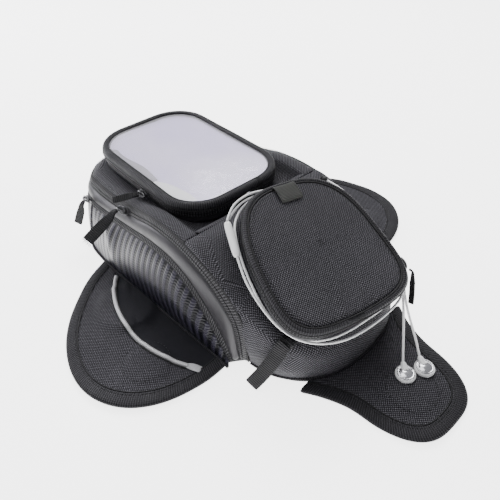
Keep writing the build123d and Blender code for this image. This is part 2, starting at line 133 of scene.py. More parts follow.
def grid(name, rows, material, body, wrap=False, wrap_across=False, cap=False, uv=None,
         inside=INSIDE, thick=0.0, levels=1, offset=-1.0, keep=None):
    """A sheet from rows of points. uv is None for distances along the rows, "box" or an array."""
    rows = np.array(rows, float)
    n, m = rows.shape[:2]
    flat = rows.reshape(-1, 3)
    faces = []
    for i in range(n if wrap else n - 1):
        for j in range(m if wrap_across else m - 1):
            i2, j2 = (i + 1) % n, (j + 1) % m
            faces.append((i * m + j, i * m + j2, i2 * m + j2, i2 * m + j))
    if cap:
        middle = rows[:, -1].mean(axis=0)
        flat = np.vstack([flat, middle])
        faces += [(i * m + m - 1, len(flat) - 1, ((i + 1) % n) * m + m - 1) for i in range(n)]
    if keep:
        faces = [f for f in faces if keep(*flat[list(f)].mean(axis=0))]
    normal = [np.cross(flat[f[1]] - flat[f[0]], flat[f[2]] - flat[f[0]]) for f in faces]
    out = sum(float(np.dot(k, flat[f[0]] - inside)) for f, k in zip(faces, normal))
    if out < 0:
        faces = [tuple(reversed(f)) for f in faces]
    mesh = bpy.data.meshes.new(name)
    mesh.from_pydata([tuple(p) for p in flat * MM], [], faces)
    mesh.update()
    if isinstance(uv, str):
        box_uv(mesh)
    else:
        table = (arc_uv(rows) if uv is None else np.array(uv)).reshape(-1, 2)
        if cap:
            table = np.vstack([table, table.reshape(n, m, 2)[:, -1].mean(axis=0)])
        layer = mesh.uv_layers.new(name="UVMap")
        for k, loop in enumerate(mesh.loops):
            layer.data[k].uv = table[loop.vertex_index]
    if keep:
        tidy = bmesh.new()
        tidy.from_mesh(mesh)
        loose = [v for v in tidy.verts if not v.link_faces]
        bmesh.ops.delete(tidy, geom=loose, context="VERTS")
        tidy.to_mesh(mesh)
        tidy.free()
    return finish_mesh(name, mesh, material, body, thick, levels, offset)


def between(edge_a, edge_b, profile, inside=INSIDE):
    """Rows from edge a to edge b. The profile gives how far along and how far out, in millimetres."""
    a, b = np.array(edge_a, float), np.array(edge_b, float)
    along = np.gradient((a + b) / 2, axis=0)
    out = np.cross(along, b - a)
    out /= np.maximum(np.linalg.norm(out, axis=1), 1e-9)[:, None]
    facing = np.sum(out * ((a + b) / 2 - inside), axis=1)
    out[facing < 0] *= -1
    rows = [[a[i] + (b[i] - a[i]) * t + out[i] * h for t, h in profile] for i in range(len(a))]
    return np.array(rows)


def tube(name, points, radius, material, body, closed=False, sides=8, levels=0):
    """Round piping along a line, as a mesh with distances along it for the ribs."""
    p = np.array(points, float)
    tangent = np.gradient(p, axis=0)
    if closed:
        tangent = np.roll(p, -1, axis=0) - np.roll(p, 1, axis=0)
    tangent /= np.linalg.norm(tangent, axis=1)[:, None]
    side = np.cross(tangent, (0.13, 0.2, 0.97))
    side /= np.linalg.norm(side, axis=1)[:, None]
    up = np.cross(side, tangent)
    turn = np.linspace(0, 2 * math.pi, sides, endpoint=False)
    radii = np.broadcast_to(radius, len(p))
    rows = [[p[i] + radii[i] * (math.cos(a) * side[i] + math.sin(a) * up[i]) for a in turn]
            for i in range(len(p))]
    piece = grid(name, rows, material, body, wrap=closed, wrap_across=True, levels=levels,
                 inside=p[len(p) // 2])
    orient_outward(piece)
    return piece


def seam_cord(name, points, radius, material, body, closed=False):
    """A cord along a seam: piping when made in binding cloth, painted shade in the seam's groove when
    made in the near-black groove material.
    """
    piece = tube(name, points, radius, material, body, closed=closed)
    return piece


def orient_outward(piece):
    """Makes a closed mesh's faces point out."""
    tidy = bmesh.new()
    tidy.from_mesh(piece.data)
    bmesh.ops.recalc_face_normals(tidy, faces=tidy.faces)
    tidy.to_mesh(piece.data)
    tidy.free()


def stitches(name, points, body, pitch=3.2, length=2.1, radius=0.28, lift=0.15):
    """A row of thread stitches lying along a line on the cloth."""
    p = np.array(points, float)
    t = np.concatenate([[0], np.cumsum(np.linalg.norm(np.diff(p, axis=0), axis=1))])
    count = int(t[-1] / pitch)
    verts, faces = [], []
    for k in range(count):
        ends = []
        for s in (k * pitch, k * pitch + length):
            ends.append(Vector([np.interp(s, t, p[:, c]) for c in range(3)]))
        along = (ends[1] - ends[0]).normalized()
        side = along.cross(Vector((0, 0, 1)))
        side = side.normalized() if side.length > 1e-3 else Vector((1, 0, 0))
        up = side.cross(along)
        base = len(verts)
        middle = (ends[0] + ends[1]) / 2
        for centre, size in ((ends[0], 0.35), (middle, 1.0), (ends[1], 0.35)):
            for a in range(6):
                angle = a * math.pi / 3
                off = (side * math.cos(angle) + up * math.sin(angle)) * radius * size
                verts.append((centre + off + up * lift * size) * MM)
        for ring in (0, 6):
            for a in range(6):
                b = (a + 1) % 6
                faces.append((base + ring + a, base + ring + b, base + ring + 6 + b,
                              base + ring + 6 + a))
        faces.append(tuple(base + a for a in reversed(range(6))))
        faces.append(tuple(base + 12 + a for a in range(6)))
    mesh = bpy.data.meshes.new(name)
    mesh.from_pydata([tuple(v) for v in verts], [], faces)
    mesh.update()
    box_uv(mesh)
    piece = finish_mesh(name, mesh, THREAD, body, 0, 0, 0)
    return piece


def bake(piece):
    """Applies a piece's modifiers, so that its mesh is final."""
    graph = bpy.context.evaluated_depsgraph_get()
    mesh = bpy.data.meshes.new_from_object(piece.evaluated_get(graph))
    piece.modifiers.clear()
    piece.data = mesh
    return piece


# ---------------------------------------------------------------- materials


class Shader:
    """A node material with short ways to add nodes."""

    def __init__(self, name, roughness, **constants):
        self.material = bpy.data.materials.new(name)
        self.material.use_nodes = True
        self.tree = self.material.node_tree
        self.surface = self.tree.nodes["Principled BSDF"]
        self.surface.inputs["Roughness"].default_value = roughness
        for key, value in constants.items():
            self.surface.inputs[key.replace("_", " ")].default_value = value
        coords = self.node("ShaderNodeUVMap")
        parts = self.node("ShaderNodeSeparateXYZ", {0: coords.outputs[0]})
        self.u, self.v = parts.outputs[0], parts.outputs[1]
        self.place = self.node("ShaderNodeTexCoord").outputs["Object"]

    def node(self, kind, inputs=None, **settings):
        """One node, with its settings and its inputs linked or set."""
        made = self.tree.nodes.new(kind)
        for key, value in settings.items():
            setattr(made, key, value)
        for key, value in (inputs or {}).items():
            if isinstance(value, bpy.types.NodeSocket):
                self.tree.links.new(value, made.inputs[key])
            else:
                made.inputs[key].default_value = value
        return made

    def math(self, operation, a, b=0.0, clamp=False):
        """A Math node's result."""
        return self.node("ShaderNodeMath", {0: a, 1: b}, operation=operation,
                         use_clamp=clamp).outputs[0]

    def wave(self, distance, pitch, shift=0.0):
        """A sine of a distance, repeating each pitch in millimetres."""
        turned = self.math("MULTIPLY_ADD", distance, 2 * math.pi / pitch)
        turned.node.inputs[2].default_value = shift
        return self.math("SINE", turned)

    def cloud(self, scale, detail=4.0, place=None):
        """Noise in the object's own space."""
        inputs = {"Vector": place or self.place, "Scale": scale, "Detail": detail}
        return self.node("ShaderNodeTexNoise", inputs).outputs[0]

    def spread(self, value, low, high, new_low, new_high):
        """A value moved from one range to another."""
        inputs = {0: value, 1: low, 2: high, 3: new_low, 4: new_high}
        return self.node("ShaderNodeMapRange", inputs).outputs[0]

    def colour(self, share, dark, light):
        """A mix of two colours, by a share."""
        inputs = {0: share, 6: (*dark, 1), 7: (*light, 1)}
        return self.node("ShaderNodeMix", inputs, data_type="RGBA").outputs[2]

    def done(self, colour, roughness=None, height=None, depth=0.3, strength=1.0):
        """Links colour, roughness and bump, and gives back the material."""
        self.tree.links.new(colour, self.surface.inputs["Base Color"])
        if roughness is not None:
            self.tree.links.new(roughness, self.surface.inputs["Roughness"])
        if height is not None:
            inputs = {"Height": height, "Distance": depth * MM, "Strength": strength}
            bump = self.node("ShaderNodeBump", inputs)
            self.tree.links.new(bump.outputs[0], self.surface.inputs["Normal"])
            self.tree.links.new(bump.outputs[0], self.surface.inputs["Coat Normal"])
        return self.material


def woven(name, dark, light, pitch, depth, roughness, sheen):
    """Cloth with threads that pass over and under: light dots in a diagonal lattice. The colour is
    painted highlight on the raised thread tops and painted shade in the hollows between them.
    """
    s = Shader(name, roughness, Sheen_Weight=sheen, Sheen_Roughness=0.45, Specular_IOR_Level=0.2)
    dots = s.math("MULTIPLY", s.wave(s.u, pitch), s.wave(s.v, pitch))
    height = s.math("MULTIPLY_ADD", dots, 0.5)
    height.node.inputs[2].default_value = 0.5
    fine = s.cloud(900, 2.0)
    wear = s.cloud(14, 5.0)
    # The colour mask follows the weave's height: painted highlight on the thread tops, painted shade in
    # the hollows.
    thread_highlight_and_shade = s.spread(height, 0.42, 0.95, 0.0, 1.0)
    uneven = s.math("MULTIPLY", thread_highlight_and_shade, s.spread(fine, 0.3, 0.7, 0.6, 1.0))
    tone_and_wear = s.spread(wear, 0.3, 0.75, 0.75, 1.15)
    share = s.math("MULTIPLY", uneven, tone_and_wear, clamp=True)
    rough = s.spread(height, 0.0, 1.0, min(roughness + 0.2, 1), roughness - 0.06)
    return s.done(s.colour(share, dark, light), rough, height, depth)


def ribbed(name, dark, light, pitch, depth, roughness):
    """Tape or binding with ribs across its length and a fine thread along it. The colour is painted
    highlight on the rib tops and painted shade between the ribs, with random wear.
    """
    s = Shader(name, roughness, Specular_IOR_Level=0.22)
    ribs = s.wave(s.u, pitch)
    thread = s.wave(s.v, pitch * 0.7)
    height = s.math("ADD", s.math("MULTIPLY", ribs, 0.4), s.math("MULTIPLY", thread, 0.14))
    # The colour mask follows the rib height: painted highlight on the rib tops, painted shade between
    # them, then uneven wear.
    share = s.spread(height, -0.4, 0.55, 0.0, 1.0)
    tone_and_wear = s.math("MULTIPLY", share, s.spread(s.cloud(30, 4.0), 0.3, 0.7, 0.6, 1.0), clamp=True)
    rough = s.spread(s.cloud(60), 0.3, 0.7, roughness - 0.08, roughness + 0.1)
    return s.done(s.colour(tone_and_wear, dark, light), rough, height, depth)


def coated(name, dark, light, roughness, coat, grain=650.0):
    """Smooth coated cloth with a fine grain and faint creases."""
    s = Shader(name, roughness, Coat_Weight=coat, Coat_Roughness=0.3, Specular_IOR_Level=0.35)
    fine = s.cloud(grain, 2.0)
    crease = s.cloud(38, 6.0)
    height = s.math("ADD", s.math("MULTIPLY", fine, 0.25), s.math("MULTIPLY", crease, 0.8))
    share = s.spread(crease, 0.3, 0.7, 0.0, 1.0)
    rough = s.spread(s.cloud(90), 0.3, 0.7, roughness - 0.06, roughness + 0.08)
    return s.done(s.colour(share, dark, light), rough, height, 0.35)


def carbon(name):
    """Glossy embossed coating: upright dark and light columns, crossed by short ribs."""
    s = Shader(name, 0.34, Coat_Weight=0.08, Coat_Roughness=0.2, Specular_IOR_Level=0.3)
    column = s.spread(s.wave(s.u, 8.4), -0.5, 0.5, 0.0, 1.0)
    turned = s.math("MULTIPLY", s.v, 2 * math.pi / 2.6)
    ribs = s.math("SINE", s.math("ADD", turned, s.math("MULTIPLY", column, math.pi)))
    height = s.math("ADD", s.math("MULTIPLY", ribs, 0.14), s.math("MULTIPLY", column, 0.8))
    share = s.math("MULTIPLY", column, s.spread(ribs, -1.0, 1.0, 0.55, 1.0))
    rough = s.spread(s.cloud(70), 0.3, 0.7, 0.27, 0.38)
    return s.done(s.colour(share, (0.0015, 0.0015, 0.0035), (0.034, 0.031, 0.049)), rough, height, 0.7)


def plastic(name, dark, light, roughness, coat=0.0, metallic=0.0, bump=0.08, scale=260.0):
    """Moulded plastic, rubber or cast metal, with a slightly uneven skin."""
    s = Shader(name, roughness, Coat_Weight=coat, Coat_Roughness=0.12, Metallic=metallic)
    skin = s.cloud(scale, 5.0)
    patch = s.cloud(45, 4.0)
    rough = s.spread(patch, 0.3, 0.7, max(roughness - 0.06, 0.04), roughness + 0.08)
    return s.done(s.colour(s.spread(patch, 0.3, 0.7, 0.0, 1.0), dark, light), rough, skin, bump)


def clear_window():
    """Clear soft vinyl with gentle waves."""
    s = Shader("window_vinyl", 0.2, Alpha=0.2, Coat_Weight=0.7, Coat_Roughness=0.28,
               Specular_IOR_Level=0.8)
    wave = s.cloud(26, 2.0)
    rough = s.spread(s.cloud(120), 0.35, 0.7, 0.16, 0.28)
    tint = s.colour(s.spread(wave, 0.3, 0.7, 0, 1), (0.93, 0.92, 0.97), (0.98, 0.975, 1.0))
    return s.done(tint, rough, wave, 1.2)


def liner_paper():
    """Lavender-white protective film that shows through the window."""
    s = Shader("liner_film", 0.35, Coat_Weight=0.35, Coat_Roughness=0.2)
    big = s.cloud(9, 3.0)
    share = s.spread(big, 0.38, 0.62, 0.0, 1.0)
    rough = s.spread(s.cloud(50), 0.3, 0.7, 0.28, 0.45)
    return s.done(s.colour(share, (0.70, 0.62, 0.96), (0.85, 0.79, 1.0)), rough, big, 1.0)


def retro_strip():
    """Silver retroreflective piping with a fine net of cells."""
    s = Shader("reflective_silver", 0.42, Metallic=0.25, Sheen_Weight=0.3)
    cells = s.math("MULTIPLY", s.wave(s.u, 1.5), s.wave(s.v, 1.5))
    share = s.spread(cells, -0.6, 0.8, 0.0, 1.0)
    dusty = s.math("MULTIPLY", share, s.spread(s.cloud(25), 0.3, 0.7, 0.75, 1.0), clamp=True)
    rough = s.spread(s.cloud(80), 0.3, 0.7, 0.36, 0.52)
    return s.done(s.colour(dusty, (0.42, 0.42, 0.43), (0.66, 0.66, 0.67)), rough, cells, 0.08)


# Woven cloths: the light colour paints highlight on the thread tops, the dark colour is the black cloth
# with painted shade between the threads.
MESH = woven("mesh_oxford", (0.007, 0.007, 0.009), (0.175, 0.169, 0.192), 2.2, 0.55, 0.55, 0.03)
PLAIN = woven("plain_cloth", (0.004, 0.004, 0.007), (0.016, 0.016, 0.023), 0.9, 0.15, 0.6, 0.03)
# Ribbed tapes and webbing: the light colour paints highlight on the rib tops, the dark colour is the
# black tape with painted shade between the ribs.
BINDING = ribbed("binding_grosgrain", (0.005, 0.005, 0.006), (0.046, 0.044, 0.051), 1.9, 0.35, 0.55)
WEB = ribbed("webbing_black", (0.003, 0.003, 0.004), (0.022, 0.022, 0.024), 1.9, 0.5, 0.55)
TAPE = ribbed("zip_tape_twill", (0.004, 0.004, 0.005), (0.090, 0.088, 0.094), 2.5, 0.5, 0.52)
GREY = coated("grey_coated_cloth", (0.021, 0.020, 0.023), (0.033, 0.031, 0.036), 0.42, 0.12)
STRIP = coated("pouch_side_cloth", (0.012, 0.012, 0.015), (0.022, 0.021, 0.026), 0.45, 0.1)
CARBON = carbon("carbon_emboss")
# Near-black cords laid along the seams: painted shade in the seam grooves.
GROOVE_SHADE = plastic("seam_shadow_cord", (0.002, 0.002, 0.003), (0.005, 0.005, 0.006), 0.7)
THREAD = plastic("thread_dark", (0.012, 0.012, 0.014), (0.03, 0.03, 0.033), 0.6, scale=900.0)
WINDOW = clear_window()
LINER = liner_paper()
SILVER = retro_strip()
FOAM = woven("foam_lining", (0.03, 0.03, 0.032), (0.06, 0.06, 0.064), 1.4, 0.2, 0.8, 0.3)
BOARD = plastic("board_plastic", (0.02, 0.02, 0.022), (0.035, 0.035, 0.038), 0.55, bump=0.3)
SLIDER = plastic("slider_black_metal", (0.02, 0.02, 0.022), (0.10, 0.10, 0.105), 0.3, 0.3, 0.8)
STEEL = plastic("ring_light_metal", (0.36, 0.36, 0.38), (0.6, 0.6, 0.62), 0.25, 0.0, 0.9)
CORD = plastic("cord_white", (0.80, 0.80, 0.81), (0.88, 0.88, 0.88), 0.34, 0.15, bump=0.03)
WHITE = plastic("shell_white", (0.82, 0.82, 0.83), (0.9, 0.9, 0.9), 0.18, 0.6, bump=0.02)
CHROME = plastic("earbud_mirror", (0.42, 0.42, 0.44), (0.75, 0.75, 0.78), 0.14, 0.2, 0.85, 0.05)
TAB = ribbed("tab_webbing_grey", (0.020, 0.021, 0.019), (0.075, 0.076, 0.070), 1.3, 0.3, 0.55)
FILM_EDGE = coated("film_edge_purple", (0.16, 0.145, 0.20), (0.26, 0.24, 0.31), 0.4, 0.1)
PAPER = coated("film_corner_white", (0.86, 0.86, 0.89), (0.93, 0.93, 0.95), 0.35, 0.2)
FRAY = plastic("loose_threads", (0.25, 0.25, 0.26), (0.5, 0.5, 0.5), 0.7)
RUBBER = plastic("port_rubber_black", (0.008, 0.008, 0.009), (0.02, 0.02, 0.021), 0.5, bump=0.2)

# ---------------------------------------------------------------- camera, light and floor

AZIMUTH, ELEVATION, ROLL = (math.radians(a) for a in (49.88, 42.31, -1.946))


def make_camera():
    """The camera, placed for the photograph's viewing angle."""
    right = Vector((math.cos(AZIMUTH), math.sin(AZIMUTH), 0))
    ahead = Vector((-math.sin(AZIMUTH), math.cos(AZIMUTH), 0))
    down = Vector((0, 0, -1))
    forward = ahead * math.cos(ELEVATION) + down * math.sin(ELEVATION)
    up = ahead * math.sin(ELEVATION) - down * math.cos(ELEVATION)
    x_axis = right * math.cos(ROLL) + up * math.sin(ROLL)
    y_axis = up * math.cos(ROLL) - right * math.sin(ROLL)
    camera = bpy.data.objects.new("camera", bpy.data.cameras.new("camera"))
    camera.data.lens = 33.74
    camera.data.sensor_width = 36.0
    camera.data.clip_start, camera.data.clip_end = 0.01, 50.0
    turn = Matrix((x_axis, y_axis, -forward)).transposed().to_4x4()
    camera.matrix_world = Matrix.Translation((0.28128, -0.22330, 0.34053)) @ turn
    bpy.context.scene.collection.objects.link(camera)
    bpy.context.scene.camera = camera


def area_light(name, at, target, size, power, colour=(1, 1, 1)):
    """One soft box that faces a point."""
    data = bpy.data.lights.new(name, "AREA")
    data.shape = "RECTANGLE"
    data.size, data.size_y = size
    data.energy = power
    data.color = colour
    light = bpy.data.objects.new(name, data)
    light.location = at
    away = Vector(at) - Vector(target)
    light.rotation_mode = "QUATERNION"
    light.rotation_quaternion = away.to_track_quat("Z", "Y")
    bpy.context.scene.collection.objects.link(light)


def make_studio():
    """Pale floor, even sky and soft boxes."""
    world = bpy.data.worlds.new("studio")
    world.use_nodes = True
    world.node_tree.nodes["Background"].inputs[0].default_value = (0.95, 0.95, 1.0, 1)
    world.node_tree.nodes["Background"].inputs[1].default_value = 0.3
    bpy.context.scene.world = world
    area_light("key", (-0.7, 0.8, 1.3), (0, 0, 0), (0.9, 0.8), 27)
    area_light("left_low", (-1.4, -0.3, 0.6), (-0.05, -0.1, 0.05), (1.2, 0.5), 16, (0.95, 0.94, 1.0))
    area_light("top", (-0.2, -0.3, 1.7), (0, 0, 0), (1.2, 1.2), 14)
    floor_mesh = bpy.data.meshes.new("studio_floor")
    far = 6.0
    floor_mesh.from_pydata([(-far, -far, 0), (far, -far, 0), (far, far, 0), (-far, far, 0)], [],
                           [(0, 1, 2, 3)])
    floor = bpy.data.objects.new("studio_floor", floor_mesh)
    bpy.context.scene.collection.objects.link(floor)
    pale = Shader("floor_white", 0.9)
    pale.surface.inputs["Emission Color"].default_value = (1, 1, 1, 1)
    pale.surface.inputs["Emission Strength"].default_value = 3.4
    floor_mesh.materials.append(pale.done(pale.colour(pale.cloud(3), (0.93, 0.93, 0.93),
            (0.95, 0.95, 0.95))))


make_camera()
make_studio()

# ---------------------------------------------------------------- round pouch frame

ROUND_ROLL, ROUND_TILT, ROUND_YAW = (math.radians(a) for a in (2.0, 20.6, -13.0))
ROUND_TURN = (Matrix.Rotation(ROUND_ROLL, 3, "X") @ Matrix.Rotation(ROUND_TILT, 3, "Y")
              @ Matrix.Rotation(ROUND_YAW, 3, "Z"))
ROUND_HALF = (64.9, 57.85)
ROUND_POWERS = (4.25, 2.8)      # squareness at the nose end and at the tall end
ROUND_TAPER = 0.068
ROUND_ORIGIN = Vector((103.2, 0.0, 89.6))
ROUND_INSIDE = (103.2, 0.0, 80.0)


def on_round(u, v, w):
    """A point given along, across and out of the round pouch, in the bag's frame."""
    return ROUND_ORIGIN + ROUND_TURN @ Vector((u, v, w))


def round_outline(shrink, count=96):
    """Rim outline of the round pouch, moved inwards."""
    points = []
    for k in range(count):
        turn = 2 * math.pi * k / count
        power = ROUND_POWERS[0] if math.cos(turn) > 0 else ROUND_POWERS[1]
        u = math.copysign(abs(math.cos(turn)) ** (2 / power), math.cos(turn))
        v = math.copysign(abs(math.sin(turn)) ** (2 / power), math.sin(turn))
        points.append((u * (ROUND_HALF[0] - shrink),
                       v * (ROUND_HALF[1] - shrink) * (1 + ROUND_TAPER * u)))
    return points


# ---------------------------------------------------------------- earphones

MAIN_LOOPS = [
    (-30, 62, -14), (-11, 60.8, -16), (9, 60.6, -17), (30, 60.4, -17.5), (48, 56.8, -18),
    (59.4, 46, -18.5), (64.4, 28.5, -18.5), (67, 10, -18.5), (69.2, -9, -18.5),
    (68.4, -28, -18.5), (62, -45.3, -18.5), (48, -57, -18.5), (30, -62, -18),
    (10, -62.6, -16.5), (-11, -61.3, -14.5), (-31, -57.6, -13), (-46.5, -52.4, -12.4),
    (-56, -44, -12.2), (-62.5, -34, -12.2), (-66.4, -21.5, -13.4), (-66.6, -6, -14.2), (-65.8, 10.5,
            -14.4),
    (-60.8, 27.5, -14.2), (-51.2, 42, -13.6), (-36.5, 53.5, -12.4), (-16, 61, -12.4),
    (6, 63.2, -13), (28, 63.6, -13.4), (49.5, 60.6, -13.8), (62, 50, -14), (68, 36, -14),
    (71.8, 19.5, -14), (74.6, 1, -14), (75, -18.5, -14), (70, -37, -14), (60.6, -51.2, -14),
    (46.5, -60.2, -14), (28, -65, -13.5), (7, -67, -12), (-6, -66.2, -10.4),
]
PORT_END = [(50, 68, 93), (60, 68, 93), (72, 68.2, 90.8)]
SPLITTER_TOP, SPLITTER_BOTTOM = (-50.2, -57.6, -9.2), (-17.6, -64.4, -9.2)
LEAD_LOOP = [
    (-58.6, -49.2, -7.6), (-64.6, -37.5, -7.4), (-67.2, -24, -8), (-67, -8.5, -9.2),
    (-66.4, 8, -9.8), (-63.6, 25, -10.2), (-57, 39.2, -10.5), (-46, 51.4, -10.3),
    (-31, 60.6, -10.3), (-11, 64.6, -12), (10, 66.4, -13.6), (31, 66.2, -15),
    (48.5, 62.4, -16.6), (58.5, 55.5, -17.8),
]
LEAD_ENDS = {
    "left": [(171.6, 31.2, 43.5), (178.6, 24.8, 32.5), (186, 17.6, 20.4), (192.8, 10.4, 12)],
    "right": [(173.3, 32.6, 45.6), (181.4, 31.6, 33), (192.2, 27.8, 20.6), (198.6, 25, 12)],
}
BUDS = {"left": (199.5, 5.5), "right": (206.6, 21.6)}
LEAD_GAP = 1.35
CORD_WIDTH = 2.0


def cord_curve(name, points):
    """A cord as one smooth open curve on its route."""
    data = bpy.data.curves.new(name, "CURVE")
    data.dimensions = "3D"
    data.bevel_depth = CORD_WIDTH / 2 * MM
    data.bevel_resolution = 5
    data.resolution_u = 12
    spline = data.splines.new("NURBS")
    spline.points.add(len(points) - 1)
    for point, place in zip(spline.points, points):
        point.co = (*(Vector(place) * MM), 1)
    spline.order_u = 3
    spline.use_endpoint_u = True
    data.materials.append(CORD)
    cord = bpy.data.objects.new(name, data)
    bpy.context.scene.collection.objects.link(cord)
    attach(cord, "bag")
    return cord


def turned_piece(name, start, end, profile, material, sides=24):
    """A round moulded piece: the profile gives how far along from start to end, and the radius."""
    start, end = Vector(start), Vector(end)
    along = (end - start).normalized()
    side = along.cross(Vector((0.3, 0.2, 1))).normalized()
    up = side.cross(along)
    rows = []
    for k in range(sides):
        a = 2 * math.pi * k / sides
        out = side * math.cos(a) + up * math.sin(a)
        rows.append([start + (end - start) * t + out * r for t, r in profile])
    piece = grid(name, rows, material, "bag", wrap=True, inside=(start + end) / 2, levels=1)
    orient_outward(piece)
    return piece


def lead_route(side, shift):
    """A lead's route: the two lie side by side, one of them a little higher and further out."""
    route = []
    for k, (u, v, w) in enumerate([SPLITTER_TOP] + LEAD_LOOP):
        share = 1.3 * shift / math.hypot(u, v) if 0 < k < 4 else 0.0
        route.append(on_round(u * (1 + share), v * (1 + share), w + shift * LEAD_GAP))
    return route + LEAD_ENDS[side]


def make_earphones():
    """Main cable, splitter, leads and earbuds."""
    top, bottom = on_round(*SPLITTER_TOP), on_round(*SPLITTER_BOTTOM)
    loops = [on_round(*p) for p in MAIN_LOOPS]
    cable = cord_curve("cable_main_cord", PORT_END + loops + [bottom])
    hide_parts("cable_main")
    shape = [(0, 0.4), (0.005, 1.7), (0.04, 2.7), (0.12, 3.25), (0.5, 3.35), (0.86, 3.3), (0.95, 2.9),
             (0.99, 2.2), (1, 0.4)]
    splitter = turned_piece("splitter_shell", bottom, top, shape, WHITE)
    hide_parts("cable_splitter")
    for side, shift in (("left", -1), ("right", 1)):
        route = lead_route(side, shift)
        lead = cord_curve(f"lead_{side}_cord", route)
        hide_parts(f"lead_{side}")
        bud = make_earbud(side)


def make_earbud(side):
    """One earbud: a shell with a mirrored disc and a soft rim, and its stem."""
    x, y = BUDS[side]
    low, high = (x, y, 4.6), (x, y, 12.6)
    shell = [(0.0, 0.3), (0.01, 5.2), (0.1, 7.6), (0.3, 8.6), (0.52, 8.4), (0.6, 7.9), (0.66, 7.4),
             (0.68, 7.0)]
    body = turned_piece(f"earbud_{side}_shell", low, high, shell, WHITE, 36)
    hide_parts(f"earbud_{side}")
    disc = [(0.66, 7.2), (0.74, 6.9), (0.76, 6.2), (0.72, 5.6), (0.78, 5.2), (0.86, 3.6), (0.9, 1.6),
            (0.905, 0.1)]
    face = turned_piece(f"earbud_{side}_disc", low, high, disc, CHROME, 36)
    end = Vector(LEAD_ENDS[side][-1])
    middle = Vector((x, y, 9))
    stem_shape = [(-0.1, 1.2), (0, 1.9), (0.1, 2.5), (0.5, 2.9), (0.75, 3.2)]
    stem = turned_piece(f"earbud_{side}_stem", end, middle, stem_shape, WHITE)
    return [body, face, stem]


make_earphones()

# ---------------------------------------------------------------- lines of the body

# Matching points of the bag's long edges on the +Y side, from the foot of the main zipper
# at the front, along the side, round the corner and to the middle of the tall end.
POCKET_BASE = [
    (95, 94.6, 3.4), (78, 95.2, 3.4), (63, 96.4, 3.4), (43, 97.8, 3.4), (20, 99.5, 3.4), (-15, 102.2,
            3.4),
    (-50, 104.7, 3.4), (-97, 107, 3.4), (-126, 104, 3.4),
]
POCKET_ZIP = [
    (92, 90.5, 5.5), (78, 90.5, 21.5), (63, 90.5, 39.5), (43, 90.5, 57), (20, 90.5, 66), (-15, 90.8,
            66.5),
    (-50, 91.5, 61), (-97, 92.6, 55.5), (-126, 92.2, 52.5),
]
BAND_TOP = [
    (95.5, 82.4, 5.5), (84.5, 82.4, 52), (66, 82.4, 68), (44, 82.4, 78), (20, 82.4, 82.6), (-15, 82.4,
            81.4),
    (-50, 82.4, 73), (-97, 82.8, 65), (-126, 82.8, 63.4),
]
ZIP_TOP = [
    (103.5, 79.4, 5.5), (94, 79.4, 57), (71.5, 79.4, 75), (46, 79.6, 84.4), (22, 79.6, 88.2), (-17,
            79.4, 87.2),
    (-52, 79.2, 79), (-98, 79.2, 71), (-126, 79.2, 69.6),
]
END_BASE = [(-146, 91.5, 3.4), (-161, 68.8, 3.4), (-168.4, 44.4, 3.4), (-170.4, 22, 3.4),
            (-170.8, 0, 3.4)]
END_ZIP = [(-147.4, 85.8, 51), (-163, 68.4, 50.6), (-171, 48.5, 50.5), (-173.4, 24, 50.5),
           (-174, 0, 50.5)]
END_BAND = [(-146.5, 80.6, 63.3), (-162.4, 68, 63.3), (-171.3, 48.5, 63.3), (-174, 24, 63.3),
            (-174.4, 0, 63.3)]
END_TOP = [(-146.5, 77.6, 69.4), (-160.8, 66, 69.4), (-169.4, 47.6, 69.4), (-172.2, 24, 69.4),
           (-172.6, 0, 69.4)]
STEPS = 8           # divisions of each span of these lines


def whole_ring(side_line, end_line):
    """One edge from the near front foot round the tall end to the far front foot."""
    half = by_index(side_line + end_line, STEPS)
    return np.vstack([flipped(half), half[-2::-1]])


def side_only(side_line, end_line, sign):
    """The side's part of an edge, up to the tall end's corner."""
    half = by_index(side_line + end_line, STEPS)[: (len(side_line) - 1) * STEPS + 1]
    return half * (1, sign, 1)


def end_only(side_line, end_line):
    """The tall end's part of an edge, from the near corner to the far corner."""
    half = by_index(side_line + end_line, STEPS)[(len(side_line) - 1) * STEPS:]
    return np.vstack([flipped(half), half[-2::-1]])


def make_zip_strip(name, edge_a, edge_b, body, width_share=0.5):
    """A zipper seen from outside: two ribbed tapes that meet over a hidden coil, between two seams."""
    left, right = width_share - 0.035, width_share + 0.035
    profile = [(0.0, -0.5), (0.03, 0.4), (0.09, 0.75), (left - 0.05, 1.15), (left, 0.95),
               (left + 0.02, -0.1),
               (right - 0.02, -0.1), (right, 0.95), (right + 0.05, 1.15), (0.91, 0.75), (0.97,
                       0.4), (1.0, -0.5)]
    strip = grid(name, between(edge_a, edge_b, profile), TAPE, body, thick=1.0, levels=1)
    return strip


def fold_ridge(past):
    """Height of the slanting fold in a pocket panel, from the distance past its crest."""
    return 3.4 * max(0.0, 1 - past / 20 if past > 0 else 1 + past / 6)


